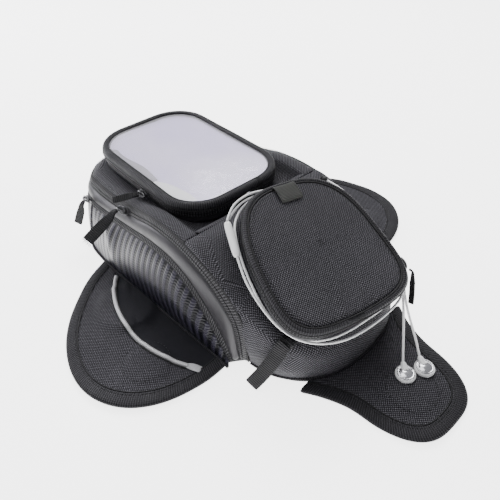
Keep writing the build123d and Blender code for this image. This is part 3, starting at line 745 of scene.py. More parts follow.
def make_carbon_panels():
    """Side pocket panels and the tall end's panel, in embossed glossy cloth."""
    steps = np.linspace(0, 1, 15)
    for side, sign in (("left", -1), ("right", 1)):
        base = side_only(POCKET_BASE, END_BASE, sign)
        zip_edge = side_only(POCKET_ZIP, END_ZIP, sign)
        rows = between(base, zip_edge, [(t, 0) for t in steps])
        swollen = between(base, zip_edge, [(t, 1) for t in steps]) - rows
        for i in range(len(rows)):
            share = i / (len(rows) - 1)
            height = np.linalg.norm(zip_edge[i] - base[i])
            size = min(1.0, height / 55) * (8.5 - 4.5 * share**3) * (0.25 + 0.75 * min(1,
                    (1 - share) * 6))
            for j, t in enumerate(steps):
                bulge = math.sin(math.pi * t**1.25) ** 0.8 * size
                crumple = ripple(*rows[i, j], 34, 3.0) * 1.3 * math.sin(math.pi * t)
                ridge = fold_ridge(rows[i, j, 0] + 57 + 31 * t) * min(1, 5 * t, 5 * (1 - t))
                rows[i, j] += swollen[i, j] * (bulge + crumple + ridge)
        panel = grid(f"pocket_{side}_panel", rows, CARBON, None, uv=pocket_uv(rows), thick=1.4,
                     levels=1)
        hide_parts(f"pocket_panel_{side}")
        bake(panel)
        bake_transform(panel)
        seam_cord(f"pocket_{side}_base_piping", base + (0, sign * 0.4, 0.6), 1.5, BINDING, "bag")
        corner = rows[-1] + (0.2, sign * 0.4, 0)
        crease = tube(f"pocket_{side}_corner_piping", corner, 0.7, CARBON, "bag")
    base, zip_edge = end_only(POCKET_BASE, END_BASE), end_only(POCKET_ZIP, END_ZIP)
    profile = [(t, 2.6 * math.sin(math.pi * t) ** 0.7) for t in steps]
    rows = between(base, zip_edge, profile)
    for i in range(len(rows)):
        fade = min(1.0, min(i, len(rows) - 1 - i) / 8)
        for j, t in enumerate(steps):
            push = ripple(*rows[i, j], 30, 7.0) * 2.2 * math.sin(math.pi * t) * fade
            rows[i, j] += (push * -0.9, 0, push * 0.2)
    end = grid("tall_end_carbon", rows, CARBON, "bag", uv=pocket_uv(rows), thick=1.4, levels=1)
    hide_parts("tall_end_panel")
    seam_cord("tall_end_base_piping", base + (-0.4, 0, 0.6), 1.5, BINDING, "bag")


def pocket_uv(rows):
    """Upright columns on a panel: distance round the bag, and height up the panel."""
    uv = np.zeros(rows.shape[:2] + (2,))
    step = np.linalg.norm(np.diff(rows[:, 0, :2], axis=0), axis=1)
    uv[:, :, 0] = np.concatenate([[0], np.cumsum(step)])[:, None]
    up = np.linalg.norm(np.diff(rows, axis=1), axis=2)
    uv[:, 1:, 1] = np.cumsum(up, axis=1)
    return uv


def make_bands():
    """Grey shoulder bands, the pockets' zippers below them and the main zipper above."""
    low, high = whole_ring(POCKET_ZIP, END_ZIP), whole_ring(BAND_TOP, END_BAND)
    top = whole_ring(ZIP_TOP, END_TOP)
    profile = [(0.0, -1.0), (0.02, 0.2), (0.09, 0.9), (0.3, 1.7), (0.6, 2.0), (0.85, 1.5), (0.94, 0.9),
               (0.985, 0.2), (1.0, -1.0)]
    zip_share = 0.28
    seam = low + (high - low) * zip_share
    band = grid("shoulder_band", between(seam, high, profile), GREY, "bag", thick=1.2, levels=1)
    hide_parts("pocket_band_left", "pocket_band_right", "tall_end_band")
    pocket_zip = make_zip_strip("pocket_zippers", low, seam, "bag")
    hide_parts("pocket_zip_tapes")
    main_zip = make_zip_strip("main_zipper", high, top, "bag", 0.45)
    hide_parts("main_zip_tape")
    # Near-black cords of painted shade in the seam grooves.
    for name, line, radius in (("pocket_zip_seam", low, 0.8), ("band_low_seam", seam, 0.6),
                               ("band_top_seam", high, 0.7), ("main_zip_seam", top, 0.7)):
        seam_cord(name, line, radius, GROOVE_SHADE, "bag")


def make_inner_walls():
    """Lining of the main compartment's sides and tall end."""
    plan = by_length([(97, 76, 0), (20, 77.5, 0), (-60, 77.5, 0), (-126, 77, 0), (-148, 76, 0),
                      (-161, 65, 0),
                      (-169.5, 48, 0), (-171.5, 24, 0), (-172, 0, 0)], 60)
    rows = []
    for x, y, _ in plan:
        top = np.interp(x, [-180, -104, -74, -48, -18, 24, 48, 65, 86, 97],
                        [66, 66, 67, 75, 83, 84, 78, 69, 56, 7])
        rows.append([(x, y, 3 + (top - 3) * t) for t in np.linspace(0, 1, 9)])
    half = np.array(rows)
    ring = np.vstack([half * (1, -1, 1), half[-2::-1]])
    lining = grid("side_lining", ring, PLAIN, "bag", thick=1.6, levels=1)
    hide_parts("side_wall_left", "side_wall_right")


def rounded_loop(centre, size, corner, inset, per_corner=9, per_side=12):
    """Closed loop of a rounded rectangle, moved inwards, as x and y."""
    half_x, half_y = size[0] / 2 - inset, size[1] / 2 - inset
    r = max(corner - inset, 1.0)
    points = []
    for quarter, (sx, sy) in enumerate(((1, 1), (-1, 1), (-1, -1), (1, -1))):
        cx, cy = centre[0] + sx * (half_x - r), centre[1] + sy * (half_y - r)
        for k in range(per_corner):
            a = math.pi / 2 * (quarter + k / (per_corner - 1))
            points.append((cx + r * math.cos(a), cy + r * math.sin(a)))
        nx, ny = ((-1, 1), (-1, -1), (1, -1), (1, 1))[quarter]
        end_x, end_y = centre[0] + nx * (half_x - r), centre[1] + ny * (half_y - r)
        last = points[-1]
        a = math.pi / 2 * (quarter + 1)
        target = (end_x + r * math.cos(a), end_y + r * math.sin(a))
        for k in range(1, per_side):
            t = k / per_side
            points.append((last[0] + (target[0] - last[0]) * t, last[1] + (target[1] - last[1]) * t))
    return points


def ring_rows(loop, profile, place=None):
    """Rows round a closed outline. The profile gives an inset and a height, the loop takes an inset."""
    columns = []
    for inset, height in profile:
        columns.append([(x, y, height) for x, y in loop(inset)])
    rows = np.array(columns).transpose(1, 0, 2)
    if place:
        rows = np.array([[tuple(place(*p)) for p in row] for row in rows])
    return rows


def disc_rows(loop, insets, shares, height, place=None, centre=None):
    """Rows of a filled outline: rings at insets, then rings that shrink towards the middle."""
    rings = [np.array(loop(d)) for d in insets]
    middle = np.array(centre if centre else rings[-1].mean(axis=0))
    rings += [middle + (rings[-1] - middle) * s for s in shares]
    rows = np.array([[(x, y, height(x, y)) for x, y in ring] for ring in rings]).transpose(1, 0, 2)
    flat_uv = rows[:, :, :2].copy()
    if place:
        rows = np.array([[tuple(place(*p)) for p in row] for row in rows])
    return rows, flat_uv


SHRINK = (0.93, 0.84, 0.74, 0.63, 0.51, 0.39, 0.27, 0.16, 0.07)

# ---------------------------------------------------------------- lid and hood

LID_EDGE = [(26.8, 79.2, 88), (-17, 79, 87.4), (-52, 78.8, 79.6), (-98, 78.6, 71.6), (-126, 78.6, 70.4)]
LID_CROWN = [(26.8, 76.6, 89.8), (-17, 76, 89.4), (-52, 76, 82.6), (-98, 75.8, 75.6),
             (-126, 75.6, 74.6)]
LID_TOP = [(26.8, 69, 90.6), (-17, 68.4, 90.2), (-52, 68.5, 83.2), (-98, 69, 77.4), (-126, 69.6, 76.8)]
LID_INNER = [(26.4, 63.4, 90), (-17, 63.2, 88), (-52, 63, 79.5), (-98, 62.6, 76.4), (-126, 58, 76.4)]
END_EDGE = [(-146, 77, 70.2), (-160.2, 65.6, 70.2), (-168.8, 47.4, 70.2), (-171.4, 24, 70.2),
            (-171.8, 0, 70.2)]
END_CROWN = [(-144.5, 74.2, 74.4), (-157.6, 63.4, 74.4), (-165.6, 46, 74.4), (-168, 24, 74.4),
             (-168.4, 0, 74.4)]
END_LID_TOP = [(-140, 68.4, 76.6), (-151.5, 58.5, 76.6), (-158.5, 43, 76.6), (-160.6, 22, 76.6),
               (-161, 0, 76.6)]
END_INNER = [(-134, 52, 76.2), (-140, 45, 76.2), (-146, 34, 76.2), (-148, 18, 76.2), (-148.4, 0, 76.2)]


def make_lid():
    """Cloth lid with a stitched rim and a raised shoulder on each side of the phone pouch."""
    lines = [whole_ring(a, b) for a, b in ((LID_EDGE, END_EDGE), (LID_CROWN, END_CROWN),
                                           (LID_TOP, END_LID_TOP), (LID_INNER, END_INNER))]
    floor_line = lines[3] * (1, 0.2, 0) + (0, 0, 74.6)
    stack = np.stack([lines[0], lines[0] * 0.55 + lines[1] * 0.45 + (0, 0, 0.5), lines[1],
                      lines[1] * 0.5 + lines[2] * 0.5 + (0, 0, 0.7), lines[2], lines[3],
                      lines[3] * (1, 0.94, 0) + (0, 0, 74.9), floor_line], axis=1)
    cloth = grid("lid_cloth", stack, MESH, "main_lid", uv="box", thick=1.6, levels=2)
    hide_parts("lid_panel")
    ramp = []
    for y in np.linspace(-64, 64, 33):
        edge = abs(y) / 64
        row = []
        for x, z in ((26.8, 90.8), (24, 90.4), (20, 88), (15.5, 84), (12.5, 80.5), (9, 76.5), (4, 75)):
            row.append((x, y, z - (1 - edge**4) * 1.2 + ripple(x, y, z, 18, 4.0) * 0.5))
        ramp.append(row)
    ramp_piece = grid("lid_front_ramp", ramp, MESH, "main_lid", uv="box", thick=1.6, levels=1,
                      inside=(-20, 0, 30))
    rim = lines[0] * 0.35 + lines[1] * 0.65
    # Near-black cord of painted shade in the rim's seam groove.
    seam_cord("lid_rim_seam", lines[0] * 0.9 + lines[1] * 0.1, 0.8, GROOVE_SHADE, "main_lid")
    stitches("lid_rim_stitches", rim + (0, 0, 0.9), "main_lid")


def slope_z(x):
    """Height of the front slope's cloth at x."""
    return float(np.interp(x, SLOPE_SMOOTH[:, 0], SLOPE_SMOOTH[:, 1]))


SLOPE_SMOOTH = by_index([(27.2, 90.6), (36, 91.4), (60, 82.2), (100, 61.2), (140, 40.4), (153, 32.4),
                         (163, 23)], 10)
FOOT_LINE = ([20, 46, 71.5, 94, 103.5, 104.2], [88.6, 84.8, 75.4, 57.4, 5.9, 3.0])


def make_hood():
    """Mesh hood from the lid's fold over the nose, with its side walls and rounded shoulders."""
    half = by_length([(27.2, 79.4, 0), (60, 79.4, 0), (99, 78.8, 0), (127, 71, 0), (148, 53, 0),
                      (158, 35, 0),
                      (162.4, 14, 0), (163, 0, 0)], 75)
    plan = np.vstack([flipped(half), half[-2::-1]])
    rows = []
    for x, y, _ in plan:
        spine = np.array([27.2 + (x - 27.2) * 0.86, 0.0])
        start = np.array([x, y])
        reach = np.linalg.norm(spine - start)
        low = float(np.interp(x, *FOOT_LINE))
        radius = float(np.clip(slope_z(x) - low - 0.6, 1.0, 11.0))
        row = []
        for t in np.linspace(0, 1, 9):
            bulge = 2.4 * math.sin(math.pi * t) * min(1.0, (slope_z(x) - radius - low) / 30)
            fold = ripple(x, y, low + 20 * t, 22, 2.0) * 1.6 * math.sin(math.pi * t) * min(1,
                    radius / 10)
            out = (start - spine) / max(reach, 1e-6)
            xy = start + out * (bulge + fold)
            row.append((*xy, low + (slope_z(x) - radius - low) * t))
        for d in (0.1, 0.3, 0.6, 1.0, 1.6, 2.4, 3.6):
            inward = radius * d
            xy = start + (spine - start) * min(inward / reach, 0.96)
            drop = radius - math.sqrt(max(radius**2 - max(radius - inward, 0) ** 2, 0))
            row.append((*xy, slope_z(xy[0]) - drop + ripple(*xy, 0, 26, 5.0) * 0.8 * min(1, d)))
        last = np.array(row[-1][:2])
        for s in (0.25, 0.5, 0.75, 1.0):
            xy = last + (spine - last) * s
            row.append((*xy, slope_z(xy[0]) + ripple(*xy, 0, 26, 5.0) * 0.6))
        rows.append(row)
    cloth = grid("hood_cloth", rows, MESH, "bag", uv="box", thick=1.8, levels=1)
    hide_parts("slope_hood", "nose_wall")
    hem = np.array([row[0] for row in rows])
    base_part = hem[hem[:, 2] < 3.5]
    seam_cord("nose_base_piping", base_part + (0.3, 0, 1.0), 1.6, BINDING, "bag")
    v_seam = [(146, -22, 0), (151, -11, 0), (153, 0, 0), (151, 11, 0), (146, 22, 0)]
    line = [(x, y, slope_z(x) + 0.7) for x, y, _ in by_length(v_seam, 40)]
    stitches("nose_stitches", line, "bag")


def make_base():
    """Underside: a non-slip sheet, and the stiffening board's cover."""
    plan = [(-168, 44), (-160, 68), (-145.4, 89), (-127, 100.5), (-97, 105.5), (90, 92), (98, 79),
            (127, 71),
            (152, 50), (159, 37), (163, 14)]

    def loop(inset):
        """Outline of the base, moved inwards by scaling."""
        full = plan + [(x, -y) for x, y in reversed(plan)]
        closed = np.array([(x, y, 0) for x, y in full + full[:1]])
        line = by_length(closed, 121)[:-1]
        middle = np.array((-5.0, 0, 0))
        away = line - middle
        size = np.linalg.norm(away, axis=1)[:, None]
        return [(p[0], p[1]) for p in line - away / size * inset]

    rows, uv = disc_rows(loop, (1, 2, 5), SHRINK, lambda x, y: 3.0)
    top = grid("base_cloth", rows, FOAM, "bag", wrap=True, cap=True, uv=uv, levels=0, inside=(0, 0, 1),
               thick=2.2)
    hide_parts("base_panel")
    under, under_uv = disc_rows(loop, (0.5, 3), SHRINK, lambda x, y: 0.4)
    sole = grid("base_sole", under, PLAIN, "bag", wrap=True, cap=True, uv=under_uv, levels=0,
                inside=(0, 0, 3), thick=0.0)

# ---------------------------------------------------------------- phone pouch

PHONE_CENTRE = (-79.7, 0.0)
PHONE_SIZE = (182.4, 123.8)
PHONE_CORNER = 40.0
PHONE_INSIDE = (-79.7, 0.0, 85.0)


def phone_loop(inset):
    """Outline of the phone pouch, moved inwards."""
    return rounded_loop(PHONE_CENTRE, PHONE_SIZE, PHONE_CORNER, inset)


def phone_ring(name, profile, material, body, closed=False, thick=1.0, levels=1):
    """A ring of the phone pouch from its profile of inset and height."""
    rows = ring_rows(phone_loop, profile)
    for i in range(len(rows)):
        for j in range(len(rows[i])):
            x, y, z = rows[i][j]
            rows[i][j][2] = z + ripple(x, y, 0, 45, 8.0) * 0.5
    piece = grid(name, rows, material, body, wrap=True, wrap_across=closed, levels=levels,
                 inside=PHONE_INSIDE, thick=0 if closed else thick)
    if closed:
        orient_outward(piece)
    return piece


def make_phone_pouch():
    """Gusset, zipper, bound rim, window, film and padding of the phone pouch."""
    gusset = [(11, 75.6), (4.5, 75.7), (2.6, 76.3), (1.7, 78.0), (1.5, 80.0), (1.9, 82.2), (2.4, 83.2)]
    wall = phone_ring("phone_gusset", gusset, GREY, "main_lid", thick=1.2)
    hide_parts("phone_tray")
    tapes = [(2.6, 83.0), (1.3, 83.3), (0.9, 84.0), (0.8, 85.4), (1.0, 86.0), (2.0, 86.1), (2.0, 86.4),
             (1.0, 86.5), (0.8, 87.2), (0.9, 88.4), (1.6, 88.9), (3.2, 89.0)]
    zipper = phone_ring("phone_zipper", tapes, TAPE, "main_lid", thick=0.8)
    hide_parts("phone_zip_tape")
    rim = [(7.6, 89.6), (2.4, 89.4), (0.6, 89.9), (-0.1, 91.4), (-0.2, 93.4), (0.5, 95.4), (1.6, 96.7),
           (3.2, 97.4), (5.0, 97.2), (6.4, 96.5), (7.4, 95.6), (8.0, 94.4), (8.2, 92)]
    trim = phone_ring("phone_rim", rim, BINDING, "phone_lid", closed=True)
    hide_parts("phone_lid_frame")
    # Near-black cords of painted shade in the rim's and gusset's seam grooves.
    for name, inset, height in (("phone_rim_seam_outer", 0.1, 90.6),
                                ("phone_rim_seam_inner", 6.9, 96.35)):
        line = [(x, y, height + ripple(x, y, 0, 45, 8.0) * 0.5) for x, y in phone_loop(inset)]
        seam_cord(name, line, 0.55, GROOVE_SHADE, "phone_lid", closed=True)
    inner_seam = [(x, y, 83.1 + ripple(x, y, 0, 45, 8.0) * 0.5) for x, y in phone_loop(1.7)]
    seam_cord("phone_gusset_seam", inner_seam, 0.7, GROOVE_SHADE, "main_lid", closed=True)
    make_window()
    make_phone_inside()


def window_z(x, y):
    """Height of the clear window: a soft crown with shallow waves."""
    across = (x - PHONE_CENTRE[0]) / 84, y / 55
    crown = max(0.0, 1 - across[0] ** 2) * max(0.0, 1 - across[1] ** 2)
    return 95.3 + 1.0 * crown + ripple(x, y, 0, 40, 1.5) * 0.8 * crown


def make_film_fold(name, outer, inner, material):
    """A folded edge of the film, from its outer and inner lines as seen from above."""
    near, tip = (by_length([(x, y, 0) for x, y in line], 20) for line in (outer, inner))
    rows = []
    for a, b in zip(near, tip):
        row = []
        for t in np.linspace(0, 1, 6):
            x, y, _ = a + (b - a) * t
            row.append((x, y, 94.3 + 0.3 * t + 0.3 * math.sin(math.pi * t) + ripple(x, y, 0, 60,
                    6.0) * 0.9))
        rows.append(row)
    fold = grid(name, rows, material, "phone_lid", levels=1, inside=PHONE_INSIDE, thick=0.25, uv="box")
    return fold


FILM_FOLDS = [
    ("film_corner_fold", [(-58, -54.6), (-28.5, -54.6), (-16, -52), (-5.5, -45), (-2.6, -41.5)],
     [(-58, -50.5), (-44, -43.4), (-30, -40.6), (-14, -39), (-4, -40.6)], PAPER),
    ("film_nose_fold", [(3.6, -30), (4.2, -10), (4.2, 12), (3.6, 30)],
            [(0.4, -29), (1.4, -10), (1.4, 12), (0.8, 29)],
     PAPER),
    ("film_near_fold", [(-140, -50), (-128, -54.2), (-90, -54.6), (-58, -54.6)],
     [(-134, -47.5), (-120, -49), (-86, -45), (-58, -47.5)], FILM_EDGE),
]


def make_window():
    """Clear window and the folded film beneath it."""
    rows, uv = disc_rows(phone_loop, (6.6, 8, 11), SHRINK, window_z)
    window = grid("phone_window_sheet", rows, WINDOW, "phone_lid", wrap=True, cap=True, uv=uv, levels=1,
                  inside=PHONE_INSIDE, thick=0.5)
    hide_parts("phone_window")

    def film_loop(inset):
        """The film is cut square and sits closer to the far side than to the near side."""
        return rounded_loop((-79.0, 1.8), (166.4, 105.5), 24.0, inset)

    def film_z(x, y):
        """The film lies flat, with long soft waves."""
        return 93.4 + ripple(x, y, 0, 60, 6.0) * 0.9

    rows, uv = disc_rows(film_loop, (0, 1, 4), SHRINK, film_z)
    film = grid("window_film", rows, LINER, "phone_lid", wrap=True, cap=True, uv=uv, levels=1,
                inside=PHONE_INSIDE, thick=0.3)
    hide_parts("phone_window_liner")
    folds = [make_film_fold(*fold) for fold in FILM_FOLDS]


def make_phone_inside():
    """Padded floor of the phone pouch."""

    def pad_loop(inset):
        """Outline of the pad in the pouch."""
        return rounded_loop(PHONE_CENTRE, (171, 112), 34.0, inset)

    def quilt(x, y):
        """Height of the pad, with sewn channels."""
        channel = min(abs(((x + 300) % 40) - 20), abs(((y + 300) % 40) - 20))
        return 79.2 + 0.9 * min(1.0, channel / 6)

    rows, uv = disc_rows(pad_loop, (0, 1, 4), SHRINK, quilt)
    pad = grid("phone_pad_cloth", rows, FOAM, "main_lid", wrap=True, cap=True, uv=uv, levels=1,
               inside=(-79.7, 0, 70), thick=1.8)
    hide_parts("phone_pad")


# ---------------------------------------------------------------- round pouch


def round_rim(inset, count=96, reach=3.6):
    """The rim's outline, which bulges outwards on the near side and towards the nose."""
    points = []
    for u, v in round_outline(inset, count):
        near = smooth_step(max(u, 0) / 65 * 0.8 - v / 57, -0.1, 0.9) * smooth_step(u, -50, 10)
        size = math.hypot(u, v)
        points.append((u + u / size * reach * near, v + v / size * reach * near))
    return points


def round_ring(name, profile, material, body, closed=False, thick=1.0, levels=1):
    """A ring of the round pouch from its profile of inset and height."""
    rows = ring_rows(round_rim, profile, on_round)
    piece = grid(name, rows, material, body, wrap=True, wrap_across=closed, levels=levels,
                 inside=ROUND_INSIDE, thick=0 if closed else thick)
    if closed:
        orient_outward(piece)
    return piece


def round_face_z(u, v):
    """Height of the round pouch's face: a soft crown that sinks a little in the middle."""
    far = math.hypot(u / 60, v / 54)
    return 2.0 + 0.9 * max(0.0, 1 - far**4) + ripple(u, v, 0, 38, 9.0) * 0.5


def make_round_pouch():
    """Face, piping, zipper, gusset and back of the round pouch."""
    trim = [(4.8, -3.0), (1.4, -3.3), (0.3, -3.0), (-0.3, -2.0), (-0.3, -0.8), (0.2, 0.6), (1.1, 1.6),
            (2.3, 1.9), (3.2, 1.5), (3.9, 0.7), (4.6, -0.2), (5.3, -0.6), (5.5, -1.6)]
    piping = round_ring("round_piping", trim, BINDING, "round_lid", closed=True)
    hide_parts("round_lid_piping")
    rows, uv = disc_rows(round_rim, (4.4, 5.4, 7.2, 10.5), SHRINK, round_face_z, on_round, (0.0, 0.0))
    for k, (inset, height) in enumerate(((4.4, -0.6), (5.4, 0.6))):
        for i, (u, v) in enumerate(round_rim(inset)):
            rows[i, k] = on_round(u, v, height)
    face = grid("round_face", rows, MESH, "round_lid", wrap=True, cap=True, uv=uv, levels=1,
                inside=ROUND_INSIDE, thick=1.6)
    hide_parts("round_lid_face")
    # Near-black cords of painted shade in the seam grooves round the face and the piping.
    seam_cord("round_face_seam", [on_round(u, v, 0.5) for u, v in round_rim(4.3)], 0.9, GROOVE_SHADE,
                  "round_lid", closed=True)
    thread = [on_round(u, v, 2.0) for u, v in round_rim(7.2)]
    stitches("round_face_stitches", thread + thread[:1], "round_lid")
    seam_cord("round_piping_seam", [on_round(u, v, -1.4) for u, v in round_rim(-0.35)], 0.55, GROOVE_SHADE,
                  "round_lid", closed=True)
    tapes = [(3.0, -3.5), (0.9, -3.5), (0.5, -4.2), (0.5, -5.4), (1.5, -5.6), (1.5, -6.0), (0.5, -6.2),
             (0.4, -7.4), (0.8, -8.2), (3.0, -8.6)]
    zipper = round_ring("round_zipper", tapes, TAPE, "bag", thick=0.8)
    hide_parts("round_zip_tape")
    side = [(3.0, -8.4), (1.2, -8.7), (0.2, -9.6), (0.0, -11.2), (0.4, -13.0), (1.6, -15.0),
            (3.2, -16.8),
            (5.5, -17.8), (9.5, -18.2)]
    gusset = round_ring("round_gusset_cloth", side, STRIP, "bag", thick=1.2)
    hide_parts("round_gusset")
    # Near-black cord of painted shade in the gusset's seam groove.
    seam_cord("round_gusset_seam", [on_round(u, v, -8.6) for u, v in round_rim(0.9)], 0.8, GROOVE_SHADE,
              "bag",
                closed=True)
    make_round_back()
    make_tab()


def make_round_back():
    """The pouch's back, which spreads onto the slope below it."""
    rows = []
    for u, v in round_rim(5.5):
        row = []
        for t in np.linspace(0, 1, 9):
            start = on_round(u, v, -17.6)
            spread = on_round(u * 0.985, v * 0.985, -46)
            foot_x = min(max(start.x + (spread.x - start.x) * 0.5, 28.5), 156)
            foot = Vector((foot_x, start.y + (spread.y - start.y) * 0.5, slope_z(foot_x) + 0.4))
            foot.z = min(foot.z, start.z)
            bulge = 1.6 * math.sin(math.pi * t)
            p = start.lerp(foot, t)
            away = Vector((p.x - ROUND_INSIDE[0], p.y, 0)).normalized()
            row.append(tuple(p + away * bulge * min(1.0, (start.z - foot.z) / 12)))
        rows.append(row)
    back = grid("round_back", rows, PLAIN, "bag", wrap=True, uv="box", levels=1, inside=ROUND_INSIDE,
                thick=1.2)
    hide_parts("round_pad")
    inner_rows, uv = disc_rows(round_outline, (5, 6, 9), SHRINK, lambda u, v: -16.4, on_round,
                               (0.0, 0.0))
    floor = grid("round_inside", inner_rows, FOAM, "bag", wrap=True, cap=True, uv=uv, levels=0,
                 inside=tuple(on_round(0, 0, -30)), thick=1.0)


def make_tab():
    """Folded webbing tab at the top of the round pouch."""
    path = [(-43.6, 3.1), (-44.2, 4.3), (-46, 4.9), (-52, 5.1), (-58, 4.8), (-60.6, 4.0), (-61.4, 2.6),
            (-61.6, 1.0)]
    line = by_length([(u, 0, w) for u, w in path], 28)
    rows = []
    for u, _, w in line:
        row = []
        for s in np.linspace(0, 1, 13):
            v = -11.5 + 21 * s
            row.append(tuple(on_round(u + 0.5 * math.sin(3 * s), v, w + 0.35 * math.sin(math.pi * s))))
        rows.append(row)
    tab = grid("round_tab", rows, TAB, "round_lid", inside=tuple(on_round(-52, 0, 0)), thick=1.1,
               levels=1)
    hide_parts("round_pull_tab")
    for name, v in (("near", -10.1), ("far", 8.1)):
        line = [on_round(u, v, 5.2) for u in np.linspace(-59, -46, 12)]
        stitches(f"tab_stitches_{name}", line, "round_lid", pitch=2.4, length=1.6)


# ---------------------------------------------------------------- magnet flaps

FLAP_ROOT = (-9.5, 75.3)            # middle of a side flap's sewn edge
FLAP_HALF = (97.6, 121.7)           # a side flap's half length, and its reach from that edge
FLAP_SHEAR = 0.268
NOSE_ROOT, NOSE_LENGTH, NOSE_HALF = 150, 99, 49
NOSE_FLARE, NOSE_POWER = 19, 3.1


def side_flap_loop(inset, sign, count=64):
    """Closed outline of a side flap, moved inwards from its curved edge."""
    points = []
    for k in range(count + 1):
        turn = math.pi * k / count
        out = (FLAP_HALF[1] - inset) * math.sin(turn)
        x = FLAP_ROOT[0] + (FLAP_HALF[0] - inset) * math.cos(turn) + FLAP_SHEAR * out
        points.append((x, sign * (FLAP_ROOT[1] + out)))
    first, last = points[0], points[-1]
    for k in range(1, 20):
        t = k / 20
        points.append((last[0] + (first[0] - last[0]) * t, last[1]))
    return points


def nose_flap_loop(inset, count=30):
    """Closed outline of the nose flap, moved inwards from its free edge."""
    half = []
    for k in range(count + 1):
        along = math.sin(math.pi / 2 * k / count)
        flare = NOSE_FLARE * max(0.0, 1 - along / 0.5) ** 2
        y = (NOSE_HALF - inset) * max(0.0, 1 - along**NOSE_POWER) ** (1 / NOSE_POWER) + flare
        half.append((NOSE_ROOT + along * (NOSE_LENGTH - inset), y))
    loop = half + [(x, -y) for x, y in reversed(half[:-1])]
    top, low = loop[0], loop[-1]
    for k in range(1, 16):
        t = k / 16
        loop.append((low[0], low[1] + (top[1] - low[1]) * t))
    return loop


def smooth_step(value, low, high):
    """Zero below low, one above high and smooth between them."""
    t = min(max((value - low) / (high - low), 0.0), 1.0)
    return t * t * (3 - 2 * t)


def side_flap_z(x, y):
    """Top of a side flap: soft folds, and a swelling over its magnet pocket."""
    y = abs(y)
    away = smooth_step(y, 110, 130)
    folds = 1.5 * ripple(x + 0.4 * y, 0.5 * y, 0, 30, 2.5) + 0.9 * math.sin((x * 0.8 + y * 0.6) / 11)
    swell = 0.0
    for mx, my, radius, high in ((-20, 124, 33, 3.4), (46, 142, 22, 1.8)):
        far = math.hypot(x - mx, (y - my) * 1.05) / radius
        swell = max(swell, high * (1 - smooth_step(far, 0.78, 1.02)))
    return 3.6 + away * (0.9 + 0.55 * folds) + swell


def nose_flap_z(x, y):
    """Top of the nose flap: soft folds and a swelling over its magnet."""
    away = smooth_step(x, 168, 190)
    folds = 1.3 * ripple(x, y, 0, 30, 5.5) + 0.7 * math.sin((x - 0.5 * y) / 10)
    far = math.hypot(x - 209, y) / 25
    return 3.6 + away * (0.8 + 0.5 * folds) + 1.6 * (1 - smooth_step(far, 0.75, 1.05))


def make_flap(name, loop, height, reflect):
    """Bound cloth flap. Pieces inside the reflective strip are plain cloth."""
    rows, uv = disc_rows(loop, (9.6, 10.4, 12.5), SHRINK, height)
    parts = [("cloth", MESH, "mesh_fabric", lambda x, y, z: not reflect or arc_distance(x, y) > 0)]
    if reflect:
        parts.append(("plain", PLAIN, "plain_fabric", lambda x, y, z: arc_distance(x, y) <= 0))
    made = []
    for part, material, slot, keep in parts:
        piece = grid(f"{name}_{part}", rows, material, None, wrap=True, cap=True, uv=uv, levels=1,
                     inside=(0, 0, -500), thick=2.2, keep=keep)
        made.append(piece)
    profile = [(11.6, -0.6), (11.2, 0.25), (10.3, 0.75), (7.5, 1.0), (3.5, 0.95), (1.2, 0.6),
               (0.2, -0.3),
               (0.0, -1.4), (0.5, -2.4), (2.5, -2.9), (10, -2.9)]
    rim = []
    for inset, lift in profile:
        ring = []
        for x, y in loop(inset):
            top = height(x, y) + lift
            ring.append((x, y, max(top, 0.35)))
        rim.append(ring)
    rim_rows = np.array(rim).transpose(1, 0, 2)
    binding = grid(f"{name}_edge", rim_rows, BINDING, None, wrap=True, wrap_across=True, levels=1)
    orient_outward(binding)
    made.append(binding)
    line = [(x, y, height(x, y) + 0.35) for x, y in loop(11.5)]
    # Near-black cord of painted shade in the binding's seam groove.
    seam = seam_cord(f"{name}_seam", line, 0.6, GROOVE_SHADE, None, closed=True)
    sewn = [(x, y, height(x, y) + 1.0) for x, y in loop(9.2)]
    thread = stitches(f"{name}_stitches", sewn + sewn[:1], None)
    made += [seam, thread]
    for piece in made:
        bake(piece)
        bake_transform(piece)
    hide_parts(f"{name}_panel")
    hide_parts(f"{name}_binding")
    return made


ARC_CENTRE, ARC_RADIUS = (10.0, 20.0), 117.0


def arc_distance(x, y):
    """How far a point lies outside the reflective strip's arc."""
    return math.hypot(x - ARC_CENTRE[0], abs(y) - ARC_CENTRE[1]) - ARC_RADIUS


